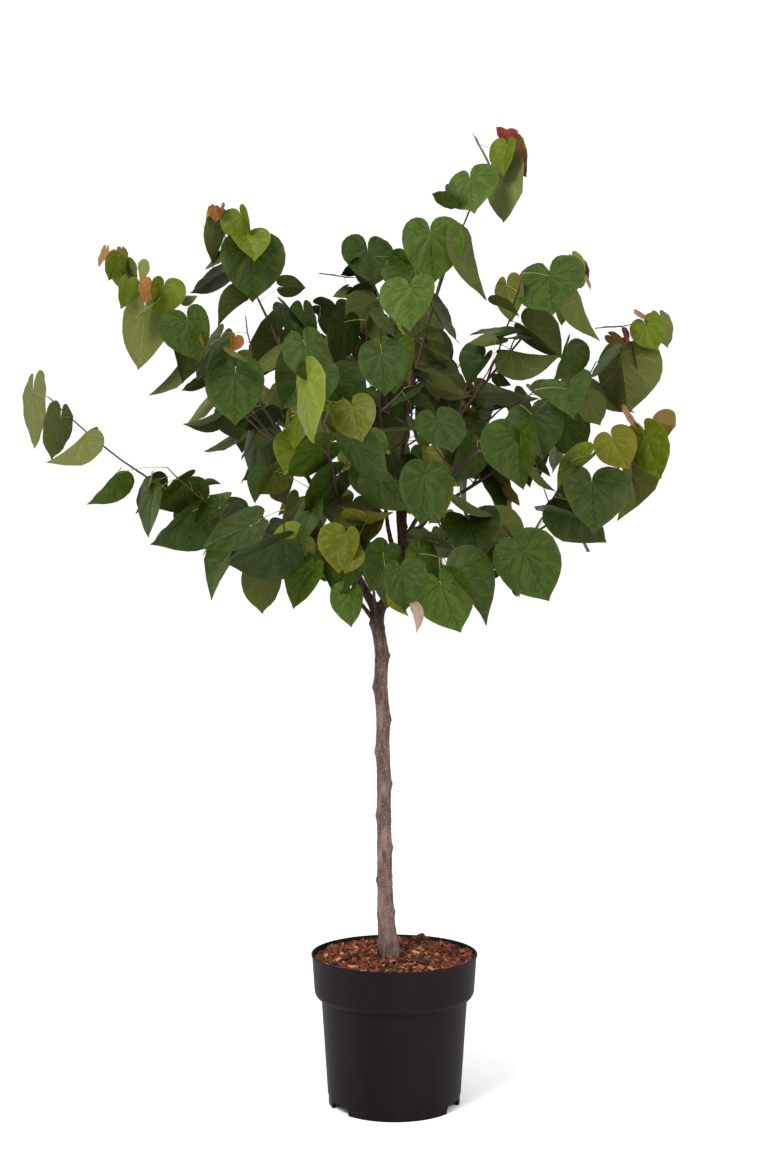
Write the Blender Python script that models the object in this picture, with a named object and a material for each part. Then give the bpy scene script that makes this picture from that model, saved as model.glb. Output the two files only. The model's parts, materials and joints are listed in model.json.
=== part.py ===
"""A young redbud tree on a slim stem, in a black nursery pot topped with bark mulch.

Metres, +Z up. The origin is the middle of the pot's flat underside, and the
photographed side of the tree faces -Y.
"""

import math
import random
from collections import namedtuple

import bmesh
import bpy
from mathutils import Vector, noise
from mathutils.bvhtree import BVHTree
from mathutils.geometry import intersect_point_line

# Driving dimensions of the pot
POT_HEIGHT = 0.250
POT_RIM_RADIUS = 0.140
POT_COLLAR_RADIUS = 0.1345
POT_COLLAR_FOOT = 0.190
POT_NECK_HEIGHT = 0.177
POT_NECK_RADIUS = 0.1231
POT_BODY_RADIUS = 0.1120
POT_LEDGE_HEIGHT = 0.016
POT_FOOT_RADIUS = 0.1105
POT_WALL = 0.002
POT_DISC_RADIUS = 0.080
POT_CORNER = 0.005
POT_SHOULDER_STEP = 0.003
POT_SHOULDER_RISE = 0.003
POT_SIDES = 36
NOTCH_BEARINGS = (-56.0, 64.0, 184.0)
NOTCH_ANGLE = 25.0
NOTCH_HEIGHT = 0.0115

# What fills the pot
CLEARANCE = 0.0003
COMPOST_TOP = 0.236
MULCH_TOP = 0.243
MULCH_MOUND = 0.005
MULCH_ROUGHNESS = 0.0016
MULCH_RINGS = 4

# Trunk
GROUND = COMPOST_TOP + CLEARANCE
FORK = Vector((-0.0275, 0.0, 0.840))
FOOT_X = -0.0035
LEAN_X = -0.0165
LEAN_RISE = 0.045
DRIFT_X = -0.0110
ZIGZAG = 0.0040
FIRST_BUD = 0.265
BUD_SPACING = 0.054
BUD_SWELLING = 0.0007
TRUNK_FOOT_RADIUS = 0.0125
TRUNK_FORK_RADIUS = 0.0113
FLARE = 0.0078
FLARE_RISE = 0.058
TRUNK_SIDES = 10
RINGS_PER_BUD = 2

# Boughs and twigs
BOUGH_SIDES = 5
BOUGH_STEP = 0.040
TWIG_SIDES = 3
TWIG_STEP = 0.055
TWIG_TIP_RADIUS = 0.0016
TWIG_END = 0.002
TWIG_BARE = 0.25
TWIG_SPACING = 0.125
TWIG_REACH = (0.42, 0.62)
TWIG_LIFT = 0.18
TWIG_THICKNESS = 0.72

# A leaf one unit long from its notch to its tip, right half only
LEAF_OUTLINE = ((0.28, -0.17), (0.61, 0.16), (0.40, 0.62))
LEAF_HEART = 0.40
LEAF_FOLD = math.radians(14.0)
LEAF_THICKNESS = 1.0 / 50.0
STALK_SHARE = 0.50
STALK_RADIUS = 0.0009
STALK_ROOT = 0.0005
STALK_LIFT = (-0.2, 0.5)
STALK_LEAN = (0.2, 0.9)
STALK_LENGTHS = (0.75, 1.2)

# How leaves hang and how they follow each other along a twig
LEAF_SPACING = 0.50
LEAF_SPACINGS = (0.85, 1.15)
LEAF_SIZES = (0.86, 1.12)
LEAF_TRIES = 20
TO_LIGHT = (0.4, 1.5)
LEAF_DROOP = (45.0, 88.0)
LEAF_SWAY = 0.45
OUTWARD = 0.6
MOST_SIDEWAYS = 0.8
LEAST_BEHIND = 0.15
LEAST_UNDER = 0.30
OWN_SPACE = 0.8
BACK_BEGINS = 0.14
FULL_SIZE_UP_TO = 0.70
ELBOW_ROOM = 0.002
LEAST_FACES = 20

# name, parent, share of the parent's length where it leaves, points, foot and end radius
Bough = namedtuple("Bough", "name parent share points foot end")
BOUGHS = (
    Bough("bough_left", "trunk", 0.97,
          ((-0.063, 0.000, 0.887), (-0.087, 0.005, 0.949), (-0.116, 0.015, 1.051),
           (-0.140, 0.024, 1.127), (-0.160, 0.030, 1.185)), 0.0076, 0.0032),
    Bough("bough_right", "trunk", 0.97,
          ((0.004, 0.000, 0.882), (0.015, 0.000, 0.932), (0.016, 0.000, 0.988),
           (0.040, 0.004, 1.064), (0.070, 0.008, 1.104)), 0.0080, 0.0034),
    Bough("bough_far_left", "bough_left", 0.14,
          ((-0.121, -0.018, 0.931), (-0.165, -0.025, 0.942)), 0.0046, 0.0029),
    Bough("bough_low_left", "trunk", 0.94,
          ((-0.080, -0.030, 0.868), (-0.110, -0.055, 0.884)), 0.0040, 0.0027),
    Bough("bough_upper_left", "bough_left", 0.38,
          ((-0.120, -0.045, 1.002), (-0.145, -0.065, 1.050)), 0.0048, 0.0030),
    Bough("bough_mid_left", "bough_left", 0.68,
          ((-0.155, -0.020, 1.069), (-0.180, -0.030, 1.096)), 0.0040, 0.0027),
    Bough("bough_front", "bough_left", 0.16,
          ((-0.081, -0.060, 0.937), (-0.085, -0.095, 0.968)), 0.0044, 0.0028),
    Bough("bough_centre", "bough_right", 0.26,
          ((-0.011, -0.020, 0.968), (-0.017, -0.040, 1.026)), 0.0048, 0.0030),
    Bough("bough_inner", "bough_left", 0.24,
          ((-0.048, -0.040, 0.944), (-0.038, -0.075, 0.960)), 0.0038, 0.0026),
    Bough("bough_top", "bough_right", 0.50,
          ((0.008, 0.004, 1.040), (0.016, 0.004, 1.115)), 0.0054, 0.0033),
    Bough("bough_top_left", "bough_left", 0.50,
          ((-0.078, 0.050, 1.087), (-0.066, 0.070, 1.144)), 0.0046, 0.0030),
    Bough("bough_upper_right", "bough_right", 0.38,
          ((0.064, 0.024, 0.992), (0.122, 0.045, 1.032)), 0.0050, 0.0031),
    Bough("bough_mid_right", "bough_right", 0.12,
          ((0.060, -0.010, 0.892), (0.123, -0.018, 0.912)), 0.0048, 0.0029),
    Bough("bough_low_right", "bough_right", 0.05,
          ((0.026, -0.050, 0.863), (0.052, -0.085, 0.872)), 0.0042, 0.0027),
    Bough("bough_front_right", "bough_right", 0.42,
          ((0.048, -0.050, 1.000), (0.072, -0.085, 1.026)), 0.0044, 0.0029),
    Bough("bough_front_low", "trunk", 0.91,
          ((-0.034, -0.045, 0.850), (-0.034, -0.085, 0.862)), 0.0038, 0.0026),
    Bough("bough_back", "bough_right", 0.34,
          ((0.006, 0.070, 1.018), (0.014, 0.120, 1.072)), 0.0046, 0.0030),
    Bough("bough_back_left", "bough_left", 0.30,
          ((-0.110, 0.060, 0.984), (-0.135, 0.100, 1.030)), 0.0044, 0.0029),
    Bough("bough_back_right", "bough_right", 0.62,
          ((0.070, 0.070, 1.069), (0.100, 0.110, 1.099)), 0.0044, 0.0029),
    Bough("bough_low_back_left", "bough_left", 0.07,
          ((-0.092, 0.055, 0.893), (-0.122, 0.100, 0.912)), 0.0042, 0.0028),
    Bough("bough_low_back_right", "bough_right", 0.20,
          ((0.054, 0.055, 0.929), (0.082, 0.100, 0.944)), 0.0042, 0.0028),
)

# name, bough, tip of its stem, share of the stem that is bare, side twigs,
# leaf length at the foot and at the tip, seed
Mass = namedtuple("Mass", "name bough tip bare twigs leaf young seed")
MASSES = (
    Mass("leaves_left", "bough_left", (-0.307, 0.040, 1.495), 0.28, 2, 0.094, 0.056, 199),
    Mass("leaves_far_left", "bough_far_left", (-0.575, -0.030, 1.182), 0.05, 2, 0.078, 0.084, 297),
    Mass("leaves_low_left", "bough_low_left", (-0.325, -0.210, 0.925), 0.08, 4, 0.080, 0.064, 335),
    Mass("leaves_upper_left", "bough_upper_left", (-0.471, -0.120, 1.398), 0.08, 4, 0.086, 0.036,
         465),
    Mass("leaves_mid_left", "bough_mid_left", (-0.330, -0.060, 1.231), 0.08, 4, 0.084, 0.054, 519),
    Mass("leaves_front", "bough_front", (-0.125, -0.320, 1.184), 0.08, 4, 0.078, 0.060, 702),
    Mass("leaves_centre", "bough_centre", (-0.020, -0.190, 1.307), 0.08, 4, 0.082, 0.058, 792),
    Mass("leaves_inner", "bough_inner", (0.030, -0.230, 1.030), 0.08, 2, 0.074, 0.056, 900),
    Mass("leaves_top", "bough_top", (0.188, -0.030, 1.620), 0.12, 3, 0.092, 0.044, 915),
    Mass("leaves_top_left", "bough_top_left", (-0.045, 0.110, 1.443), 0.08, 4, 0.086, 0.064, 1067),
    Mass("leaves_right", "bough_right", (0.324, 0.000, 1.412), 0.10, 4, 0.092, 0.084, 1144),
    Mass("leaves_upper_right", "bough_upper_right", (0.455, 0.080, 1.310), 0.08, 4, 0.090, 0.056,
         1207),
    Mass("leaves_mid_right", "bough_mid_right", (0.435, -0.060, 1.140), 0.08, 4, 0.090, 0.052,
         1365),
    Mass("leaves_low_right", "bough_low_right", (0.236, -0.260, 0.923), 0.08, 4, 0.084, 0.068,
         1491),
    Mass("leaves_front_right", "bough_front_right", (0.210, -0.290, 1.166), 0.08, 4, 0.080, 0.058,
         1558),
    Mass("leaves_front_low", "bough_front_low", (0.010, -0.340, 0.900), 0.08, 3, 0.076, 0.064, 1688),
    Mass("leaves_back", "bough_back", (0.042, 0.410, 1.316), 0.08, 4, 0.088, 0.060, 1772),
    Mass("leaves_back_left", "bough_back_left", (-0.268, 0.390, 1.245), 0.08, 4, 0.088, 0.060,
         1853),
    Mass("leaves_back_right", "bough_back_right", (0.259, 0.380, 1.245), 0.08, 4, 0.088, 0.060,
         1997),
    Mass("leaves_low_back_left", "bough_low_back_left", (-0.277, 0.380, 0.981), 0.08, 4, 0.088, 0.066,
         2030),
    Mass("leaves_low_back_right", "bough_low_back_right", (0.258, 0.380, 0.986), 0.08, 4, 0.088, 0.066,
         2201),
)

UP = Vector((0.0, 0.0, 1.0))
FRONT = Vector((0.0, -1.0, 0.0))


def clear_scene():
    for thing in list(bpy.data.objects):
        bpy.data.objects.remove(thing, do_unlink=True)


def material(name, colour, roughness, metallic=0.0):
    made = bpy.data.materials.new(name)
    made.use_nodes = True
    shader = made.node_tree.nodes["Principled BSDF"]
    shader.inputs["Base Color"].default_value = (*colour, 1.0)
    shader.inputs["Roughness"].default_value = roughness
    shader.inputs["Metallic"].default_value = metallic
    made.diffuse_color = (*colour, 1.0)
    return made


def add_object(name, mesh, look=None):
    thing = bpy.data.objects.new(name, mesh)
    bpy.context.scene.collection.objects.link(thing)
    if look is not None:
        mesh.materials.clear()
        mesh.materials.append(look)
    return thing


def mesh_of(points, faces, name="piece"):
    mesh = bpy.data.meshes.new(name)
    mesh.from_pydata([tuple(p) for p in points], [], faces)
    mesh.update()
    return mesh


def mesh_from(bm, name):
    bmesh.ops.recalc_face_normals(bm, faces=bm.faces)
    mesh = bpy.data.meshes.new(name)
    bm.to_mesh(mesh)
    bm.free()
    return mesh


def smooth(thing, angle=35.0):
    thing.data.shade_smooth()
    thing.data.set_sharp_from_angle(angle=math.radians(angle))


def turned(name, profile, sides):
    """A closed solid turned about Z from a profile that starts and ends on the axis."""
    bm = bmesh.new()
    points = [bm.verts.new((radius, 0.0, height)) for radius, height in profile]
    edges = [bm.edges.new(pair) for pair in zip(points, points[1:])]
    bmesh.ops.spin(bm, geom=points + edges, cent=(0, 0, 0), axis=(0, 0, 1),
                   angle=2.0 * math.pi, steps=sides, use_merge=True)
    bmesh.ops.remove_doubles(bm, verts=bm.verts, dist=1e-6)
    return mesh_from(bm, name)


def pot_outside():
    """From the middle of the underside out to the rim, as radius and height."""
    riser = POT_DISC_RADIUS + POT_WALL
    ceiling = POT_LEDGE_HEIGHT - POT_WALL
    foot_inside = POT_FOOT_RADIUS - POT_CORNER
    shoulder = POT_COLLAR_RADIUS - POT_SHOULDER_STEP
    return [
        (0.0, 0.0),
        (POT_DISC_RADIUS, 0.0),
        (riser, ceiling),
        (foot_inside, ceiling),
        (foot_inside, 0.0),
        (POT_FOOT_RADIUS - 0.3 * POT_CORNER, 0.0),
        (POT_FOOT_RADIUS, 0.3 * POT_CORNER),
        (POT_FOOT_RADIUS, POT_LEDGE_HEIGHT - 0.001),
        (POT_BODY_RADIUS, POT_LEDGE_HEIGHT),
        (POT_NECK_RADIUS, POT_NECK_HEIGHT),
        (shoulder, POT_NECK_HEIGHT + POT_SHOULDER_RISE),
        (POT_COLLAR_RADIUS, POT_COLLAR_FOOT - 0.002),
        (POT_RIM_RADIUS, POT_HEIGHT),
    ]


def pot_inside(gap=0.0):
    """From the rim's inner edge down to the middle of the floor, drawn in by a gap."""
    inset = POT_WALL + gap
    return [
        (POT_RIM_RADIUS - inset, POT_HEIGHT),
        (POT_COLLAR_RADIUS - inset, POT_COLLAR_FOOT),
        (POT_NECK_RADIUS - inset, POT_NECK_HEIGHT),
        (POT_BODY_RADIUS - inset, POT_LEDGE_HEIGHT + gap),
        (POT_DISC_RADIUS - gap, POT_LEDGE_HEIGHT + gap),
        (POT_DISC_RADIUS - inset, POT_WALL + gap),
        (0.0, POT_WALL + gap),
    ]


def notch_cutter(bearing):
    """A wedge that opens the foot ring at one bearing, measured from the front."""
    bm = bmesh.new()
    half = math.radians(NOTCH_ANGLE) / 2.0
    middle = math.radians(bearing)
    inner = POT_FOOT_RADIUS - 2.2 * POT_CORNER
    outer = POT_FOOT_RADIUS + POT_CORNER
    corners = []
    for radius, turn in ((inner, -half), (outer, -half), (outer, half), (inner, half)):
        here = middle + turn
        corners.append(bm.verts.new((radius * math.sin(here), -radius * math.cos(here),
                                     -POT_CORNER)))
    floor = bm.faces.new(corners)
    raised = bmesh.ops.extrude_face_region(bm, geom=[floor])["geom"]
    top = [v for v in raised if isinstance(v, bmesh.types.BMVert)]
    bmesh.ops.translate(bm, verts=top, vec=(0.0, 0.0, NOTCH_HEIGHT + POT_CORNER))
    return mesh_from(bm, "notch")


def apply_boolean(thing, operation, other=None, group=None, solver="EXACT"):
    """Run one Boolean on an object's mesh and keep the result as its mesh."""
    step = thing.modifiers.new("cut", "BOOLEAN")
    step.operation = operation
    step.solver = solver
    if group is None:
        step.object = other
    else:
        step.operand_type = "COLLECTION"
        step.collection = group
    graph = bpy.context.evaluated_depsgraph_get()
    result = bpy.data.meshes.new_from_object(thing.evaluated_get(graph))
    thing.modifiers.remove(step)
    return result


def cut(thing, cutter_mesh):
    """Take one cutter away from an object, and drop any scrap that comes loose."""
    cutter = add_object("cutter", cutter_mesh)
    cutter.hide_render = True
    cutter.display_type = "WIRE"
    bpy.context.view_layer.update()
    thing.data = largest_piece(apply_boolean(thing, "DIFFERENCE", other=cutter))
    bpy.data.objects.remove(cutter, do_unlink=True)


def largest_piece(mesh):
    """The mesh with all but its largest connected piece removed."""
    bm = bmesh.new()
    bm.from_mesh(mesh)
    pieces = []
    seen = set()
    for start in bm.verts:
        if start in seen:
            continue
        seen.add(start)
        piece = [start]
        for vert in piece:
            for edge in vert.link_edges:
                other = edge.other_vert(vert)
                if other not in seen:
                    seen.add(other)
                    piece.append(other)
        pieces.append(piece)
    pieces.sort(key=len)
    for scrap in pieces[:-1]:
        bmesh.ops.delete(bm, geom=scrap, context="VERTS")
    bm.to_mesh(mesh)
    bm.free()
    return mesh


def make_pot():
    plastic = material("pot_plastic", (0.022, 0.019, 0.023), 0.42)
    pot = add_object("pot", turned("pot", pot_outside() + pot_inside(), POT_SIDES), plastic)
    for bearing in NOTCH_BEARINGS:
        cut(pot, notch_cutter(bearing))
    smooth(pot)
    return pot


def wall_radius(height, gap):
    """The radius of the pot's inner wall above the collar's foot, drawn in by a gap."""
    rim, foot = pot_inside(gap)[:2]
    share = (height - foot[1]) / (rim[1] - foot[1])
    return foot[0] + share * (rim[0] - foot[0])


def make_compost():
    soil = material("compost", (0.035, 0.024, 0.017), 0.95)
    profile = [(0.0, COMPOST_TOP), (wall_radius(COMPOST_TOP, CLEARANCE), COMPOST_TOP)]
    profile += pot_inside(CLEARANCE)[1:]
    compost = add_object("compost", turned("compost", profile, POT_SIDES), soil)
    smooth(compost)
    return compost


def make_mulch(trunk_cutter):
    """A bed of bark with an uneven top, a little higher round the trunk."""
    bark = material("bark_mulch", (0.20, 0.075, 0.032), 0.9)
    reach = wall_radius(GROUND, CLEARANCE)
    profile = [(0.0, GROUND), (reach, GROUND)]
    for ring in range(MULCH_RINGS + 1):
        share = 1.0 - ring / MULCH_RINGS
        profile.append((share * reach, MULCH_TOP + MULCH_MOUND * (1.0 - share) ** 2))
    mesh = turned("bark_mulch", profile, POT_SIDES)
    for vert in mesh.vertices:
        inside = vert.co.xy.length < reach - CLEARANCE
        if inside and vert.co.z > GROUND + CLEARANCE:
            vert.co.z += MULCH_ROUGHNESS * noise.noise(vert.co * 70.0)
    mulch = add_object("bark_mulch", mesh, bark)
    cut(mulch, trunk_cutter)
    smooth(mulch, 60.0)
    return mulch


def frames_along(path, level):
    """A tangent and two steady cross directions at each point; level ones lie flat."""
    frames = []
    side = None
    for index, point in enumerate(path):
        before = path[max(index - 1, 0)]
        after = path[min(index + 1, len(path) - 1)]
        tangent = UP if level else (after - before).normalized()
        if side is None:
            side = tangent.orthogonal().normalized()
        side = (side - tangent * side.dot(tangent)).normalized()
        frames.append((point, tangent, side, tangent.cross(side)))
    return frames


def tube(path, radii, sides, extra=0.0, level=False):
    """Points and faces of a closed tapering tube with flat ends."""
    points = []
    for (point, _, side, other), radius in zip(frames_along(path, level), radii):
        for step in range(sides):
            turn = 2.0 * math.pi * step / sides
            spoke = side * math.cos(turn) + other * math.sin(turn)
            points.append(point + spoke * (radius + extra))
    faces = [tuple(reversed(range(sides)))]
    for ring in range(len(path) - 1):
        low = ring * sides
        for step in range(sides):
            after = (step + 1) % sides
            faces.append((low + step, low + after, low + sides + after, low + sides + step))
    faces.append(tuple(range(len(points) - sides, len(points))))
    return points, faces


def trunk_centre(height):
    """The middle of the trunk at a height: a bent foot, a slow drift and bud to bud bends."""
    rise = height - GROUND
    share = rise / (FORK.z - GROUND)
    lean = FOOT_X + (LEAN_X - FOOT_X) * (1.0 - math.exp(-rise / LEAN_RISE))
    step = max((height - FIRST_BUD) / BUD_SPACING, 0.0)
    wave = 1.0 - 2.0 * abs((step % 2.0) - 1.0)
    bend = ZIGZAG * share ** 2 * wave
    return Vector((lean + DRIFT_X * share ** 3 + bend, 0.4 * bend, height))


def trunk_radius(height):
    rise = height - GROUND
    share = rise / (FORK.z - GROUND)
    plain = TRUNK_FOOT_RADIUS + share * (TRUNK_FORK_RADIUS - TRUNK_FOOT_RADIUS)
    flare = FLARE * math.exp(-rise / FLARE_RISE)
    step = (height - FIRST_BUD) / BUD_SPACING
    at_bud = abs(step - round(step)) < 0.2 and step > 0.0
    return plain + flare + (BUD_SWELLING if at_bud else 0.0)


def trunk_heights():
    heights = [GROUND, GROUND + 0.012]
    count = int((FORK.z - FIRST_BUD) / BUD_SPACING * RINGS_PER_BUD) + 1
    heights += [FIRST_BUD + BUD_SPACING * ring / RINGS_PER_BUD for ring in range(count)]
    return heights + [FORK.z]


class Limb:
    """A tapering limb: its path, its radii, and the mesh that keeps others clear of it."""

    def __init__(self, name, path, radii, sides, level=False):
        self.name = name
        self.path = path
        self.radii = radii
        self.sides = sides
        self.level = level

    def mesh(self, extra=0.0):
        points, faces = tube(self.path, self.radii, self.sides, extra, self.level)
        return mesh_of(points, faces, self.name)

    def length(self):
        return sum((b - a).length for a, b in zip(self.path, self.path[1:]))

    def heading(self):
        return (self.path[-1] - self.path[-2]).normalized()

    def at(self, share):
        """The point and the radius at a share of the limb's length."""
        left = max(share, 0.0) * self.length()
        for index, (a, b) in enumerate(zip(self.path, self.path[1:])):
            length = (b - a).length
            if left <= length:
                part = left / length
                point = self.path[index].lerp(self.path[index + 1], part)
                radius = self.radii[index] + part * (self.radii[index + 1] - self.radii[index])
                return point, radius
            left -= length
        return self.path[-1], self.radii[-1]


def smooth_path(corners, step):
    """Points about one step apart on a curve through the given corners."""
    corners = [Vector(c) for c in corners]
    padded = [2.0 * corners[0] - corners[1]] + corners + [2.0 * corners[-1] - corners[-2]]
    path = [corners[0]]
    for index in range(1, len(padded) - 2):
        a, b, c, d = padded[index - 1:index + 3]
        count = max(1, round((c - b).length / step))
        for part in range(1, count + 1):
            t = part / count
            path.append(0.5 * (2.0 * b + (c - a) * t + (2.0 * a - 5.0 * b + 4.0 * c - d) * t * t
                               + (3.0 * b - a - 3.0 * c + d) * t ** 3))
    return path


def make_trunk():
    bark = material("trunk_bark", (0.21, 0.145, 0.11), 0.85)
    heights = trunk_heights()
    path = [trunk_centre(height) for height in heights]
    radii = [trunk_radius(height) for height in heights]
    limb = Limb("trunk", path, radii, TRUNK_SIDES, level=True)
    trunk = add_object("trunk", limb.mesh(), bark)
    smooth(trunk, 50.0)
    return limb


def make_bough(row, limbs):
    """One bough from inside its parent to its end, cut clear of every limb made before it."""
    start, _ = limbs[row.parent].at(row.share)
    path = smooth_path([start] + list(row.points), BOUGH_STEP)
    count = len(path) - 1
    radii = [row.foot + (row.end - row.foot) * index / count for index in range(count + 1)]
    limb = Limb(row.name, path, radii, BOUGH_SIDES)
    look = bpy.data.materials.get("bough_bark") or material("bough_bark", (0.06, 0.035, 0.025), 0.8)
    bough = add_object(row.name, limb.mesh(), look)
    for other in limbs.values():
        tree = BVHTree.FromPolygons(*plain(bough.data))
        cutter = other.mesh(CLEARANCE)
        if tree.overlap(BVHTree.FromPolygons(*plain(cutter))):
            cut(bough, cutter)
    smooth(bough, 50.0)
    return limb


def plain(mesh):
    """A mesh's points and faces, as a search tree takes them."""
    points = [vert.co.copy() for vert in mesh.vertices]
    return points, [tuple(face.vertices) for face in mesh.polygons]


class Space:
    """What is already there: each solid's owner and search tree, inside a ball round it."""

    def __init__(self):
        self.taken = []

    def add(self, points, faces, owner=None):
        middle = sum(points, Vector()) / len(points)
        reach = max((point - middle).length for point in points)
        self.taken.append((owner, middle, reach, BVHTree.FromPolygons(points, faces)))

    def is_free(self, points, faces, carrier):
        """Whether a solid meets nothing but the limb that carries it."""
        middle = sum(points, Vector()) / len(points)
        reach = max((point - middle).length for point in points)
        tree = BVHTree.FromPolygons(points, faces)
        for owner, other_middle, other_reach, other in self.taken:
            if owner is carrier or (other_middle - middle).length > reach + other_reach:
                continue
            if tree.overlap(other):
                return False
        return True


def distance_to(path, point):
    """How far a point lies from a path."""
    nearest = math.inf
    for a, b in zip(path, path[1:]):
        foot, share = intersect_point_line(point, a, b)
        foot = a if share < 0.0 else b if share > 1.0 else foot
        nearest = min(nearest, (point - foot).length)
    return nearest


def leaf_solid(root, notch, axis, normal, length, room=0.0):
    """A heart-shaped blade, folded along its rib, and its stalk, as one closed solid."""
    side = axis.cross(normal).normalized()
    rise = math.sin(LEAF_FOLD) * length
    spread = math.cos(LEAF_FOLD) * length
    grown = 1.0 + room / length * 2.0

    def on_blade(across, along):
        out = side * (across * spread) + axis * (along * length) + normal * (abs(across) * rise)
        return notch + out * grown

    stalk = (notch - root).normalized()
    cross = (side - stalk * side.dot(stalk)).normalized()
    above = cross.cross(stalk).normalized()
    foot = STALK_ROOT + room
    half = STALK_RADIUS + room
    thick = LEAF_THICKNESS * length / 2.0 + room
    points = [root + cross * foot + above * 0.5 * foot,
              root - cross * foot + above * 0.5 * foot,
              root - above * foot,
              notch + cross * half + normal * 0.3 * half,
              notch - cross * half + normal * 0.3 * half,
              notch - above * half - normal * 0.6 * half]
    points += [on_blade(across, along) for across, along in LEAF_OUTLINE]
    points.append(on_blade(0.0, 1.0))
    points += [on_blade(-across, along) for across, along in reversed(LEAF_OUTLINE)]
    heart = on_blade(0.0, LEAF_HEART)
    points += [heart + normal * thick, heart - normal * thick]
    top, bottom = len(points) - 2, len(points) - 1
    rim = list(range(6, len(points) - 2))
    faces = [(0, 1, 2), (0, 3, 4, 1), (1, 4, 5, 2), (2, 5, 3, 0), (top, 4, 3)]
    faces += [(top, a, b) for a, b in zip([3] + rim, rim + [4])]
    faces += [(bottom, b, a) for a, b in zip([5] + rim, rim + [5])]
    faces += [(3, 5, rim[0]), (5, 4, rim[-1])]
    return points, faces


def leaf_pose(point, tangent, hand, length, dice):
    """Where one leaf's notch lies and how its blade hangs from a twig at a point."""
    across = tangent.cross(UP)
    if across.length < 0.2:
        across = tangent.cross(FRONT)
    across = across.normalized() * hand
    lift = dice.uniform(*STALK_LIFT)
    stalk = (across + tangent * dice.uniform(*STALK_LEAN) + UP * lift).normalized()
    notch = point + stalk * (length * STALK_SHARE * dice.uniform(*STALK_LENGTHS))
    outward = Vector((point.x - FORK.x, point.y - FORK.y, 0.0))
    outward = outward.normalized() if outward.length > 1e-6 else FRONT
    to_light = dice.uniform(*TO_LIGHT) if point.y < BACK_BEGINS else 0.0
    facing = stalk + OUTWARD * outward + FRONT * to_light
    facing += Vector((dice.uniform(-0.5, 0.5), dice.uniform(-0.5, 0.5), 0.0))
    facing.z = 0.0
    facing.normalize()
    droop = math.radians(dice.uniform(*LEAF_DROOP))
    axis = facing * math.cos(droop) - UP * math.sin(droop)
    normal = facing * math.sin(droop) + UP * math.cos(droop)
    sway = dice.uniform(-LEAF_SWAY, LEAF_SWAY)
    axis = (axis + axis.cross(normal) * sway).normalized()
    return notch, axis, normal


def stalk_clears_blade(stalk, axis, normal):
    """A stalk reaches the notch from behind the blade or from under it, not from its side."""
    stalk = stalk.normalized()
    sideways = abs(stalk.dot(axis.cross(normal)))
    from_behind = stalk.dot(axis) > LEAST_BEHIND or stalk.dot(normal) > LEAST_UNDER
    return sideways < MOST_SIDEWAYS and from_behind


def curved(start, heading, tip, step):
    """A path that leaves in one heading and bends over to its tip."""
    start, tip = Vector(start), Vector(tip)
    length = (tip - start).length
    elbow = start + heading * (0.5 * length)
    count = max(2, round(length / step))
    path = []
    for index in range(count + 1):
        t = index / count
        path.append(start * (1 - t) ** 2 + elbow * (2 * t * (1 - t)) + tip * t * t)
    return path


def tapered(path, foot, end):
    count = len(path) - 1
    return [foot + (end - foot) * index / count for index in range(count + 1)]


def side_twigs(stem, row, dice):
    """Twigs that leave a mass's stem by turns to the left and the right."""
    hand = dice.choice((-1.0, 1.0))
    twigs = []
    for index in range(row.twigs):
        share = TWIG_SPACING * (index + dice.uniform(0.2, 0.9))
        start, radius = stem.at(share)
        tangent = (stem.at(share + 0.05)[0] - start).normalized()
        across = tangent.cross(UP)
        across = across.normalized() * hand if across.length > 0.2 else FRONT * hand
        hand = -hand
        heading = (tangent * 0.55 + across * dice.uniform(0.6, 1.0)
                   + UP * dice.uniform(-0.1, 0.5)).normalized()
        reach = stem.length() * dice.uniform(*TWIG_REACH) * (1.10 - share)
        tip = start + (heading + UP * TWIG_LIFT) * reach
        path = curved(start, heading, tip, TWIG_STEP)
        radii = tapered(path, radius * TWIG_THICKNESS, TWIG_TIP_RADIUS)
        twigs.append(Limb("twig", path, radii, TWIG_SIDES))
    return twigs


def leaf_size(row, share):
    """Leaves are full size along the stem and smaller over its last third."""
    fade = max(share - FULL_SIZE_UP_TO, 0.0) / (1.0 - FULL_SIZE_UP_TO)
    return row.leaf + (row.young - row.leaf) * fade


def leaves_along(twig, row, room, own, others, dice, bare):
    """The leaves of one twig, each set down only where there is room for it."""
    length = twig.length()
    made = []
    hand = dice.choice((-1.0, 1.0))
    along = bare * length
    while along < length - TWIG_END:
        share = along / length
        size = leaf_size(row, share) * dice.uniform(*LEAF_SIZES)
        point, _ = twig.at(share)
        tangent = (twig.at(share + 0.04)[0] - twig.at(share - 0.04)[0]).normalized()
        for _ in range(LEAF_TRIES):
            notch, axis, normal = leaf_pose(point, tangent, hand, size, dice)
            if not stalk_clears_blade(notch - point, axis, normal):
                continue
            middle = notch + axis * (LEAF_HEART * size)
            near = distance_to(own, middle) * OWN_SPACE
            if any(distance_to(path, middle) < near for path in others):
                continue
            if room.is_free(*leaf_solid(point, notch, axis, normal, size, ELBOW_ROOM), twig):
                made.append(leaf_solid(point, notch, axis, normal, size))
                room.add(*made[-1])
                break
        hand = -hand
        along += size * LEAF_SPACING * dice.uniform(*LEAF_SPACINGS)
    return made


def mass_stem(row, limbs):
    """The stem that carries a mass on from its bough's end."""
    bough = limbs[row.bough]
    start = bough.path[-1] + bough.heading() * CLEARANCE
    path = curved(start, bough.heading(), row.tip, TWIG_STEP)
    return Limb(row.name, path, tapered(path, bough.radii[-1], TWIG_TIP_RADIUS), TWIG_SIDES)


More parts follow.
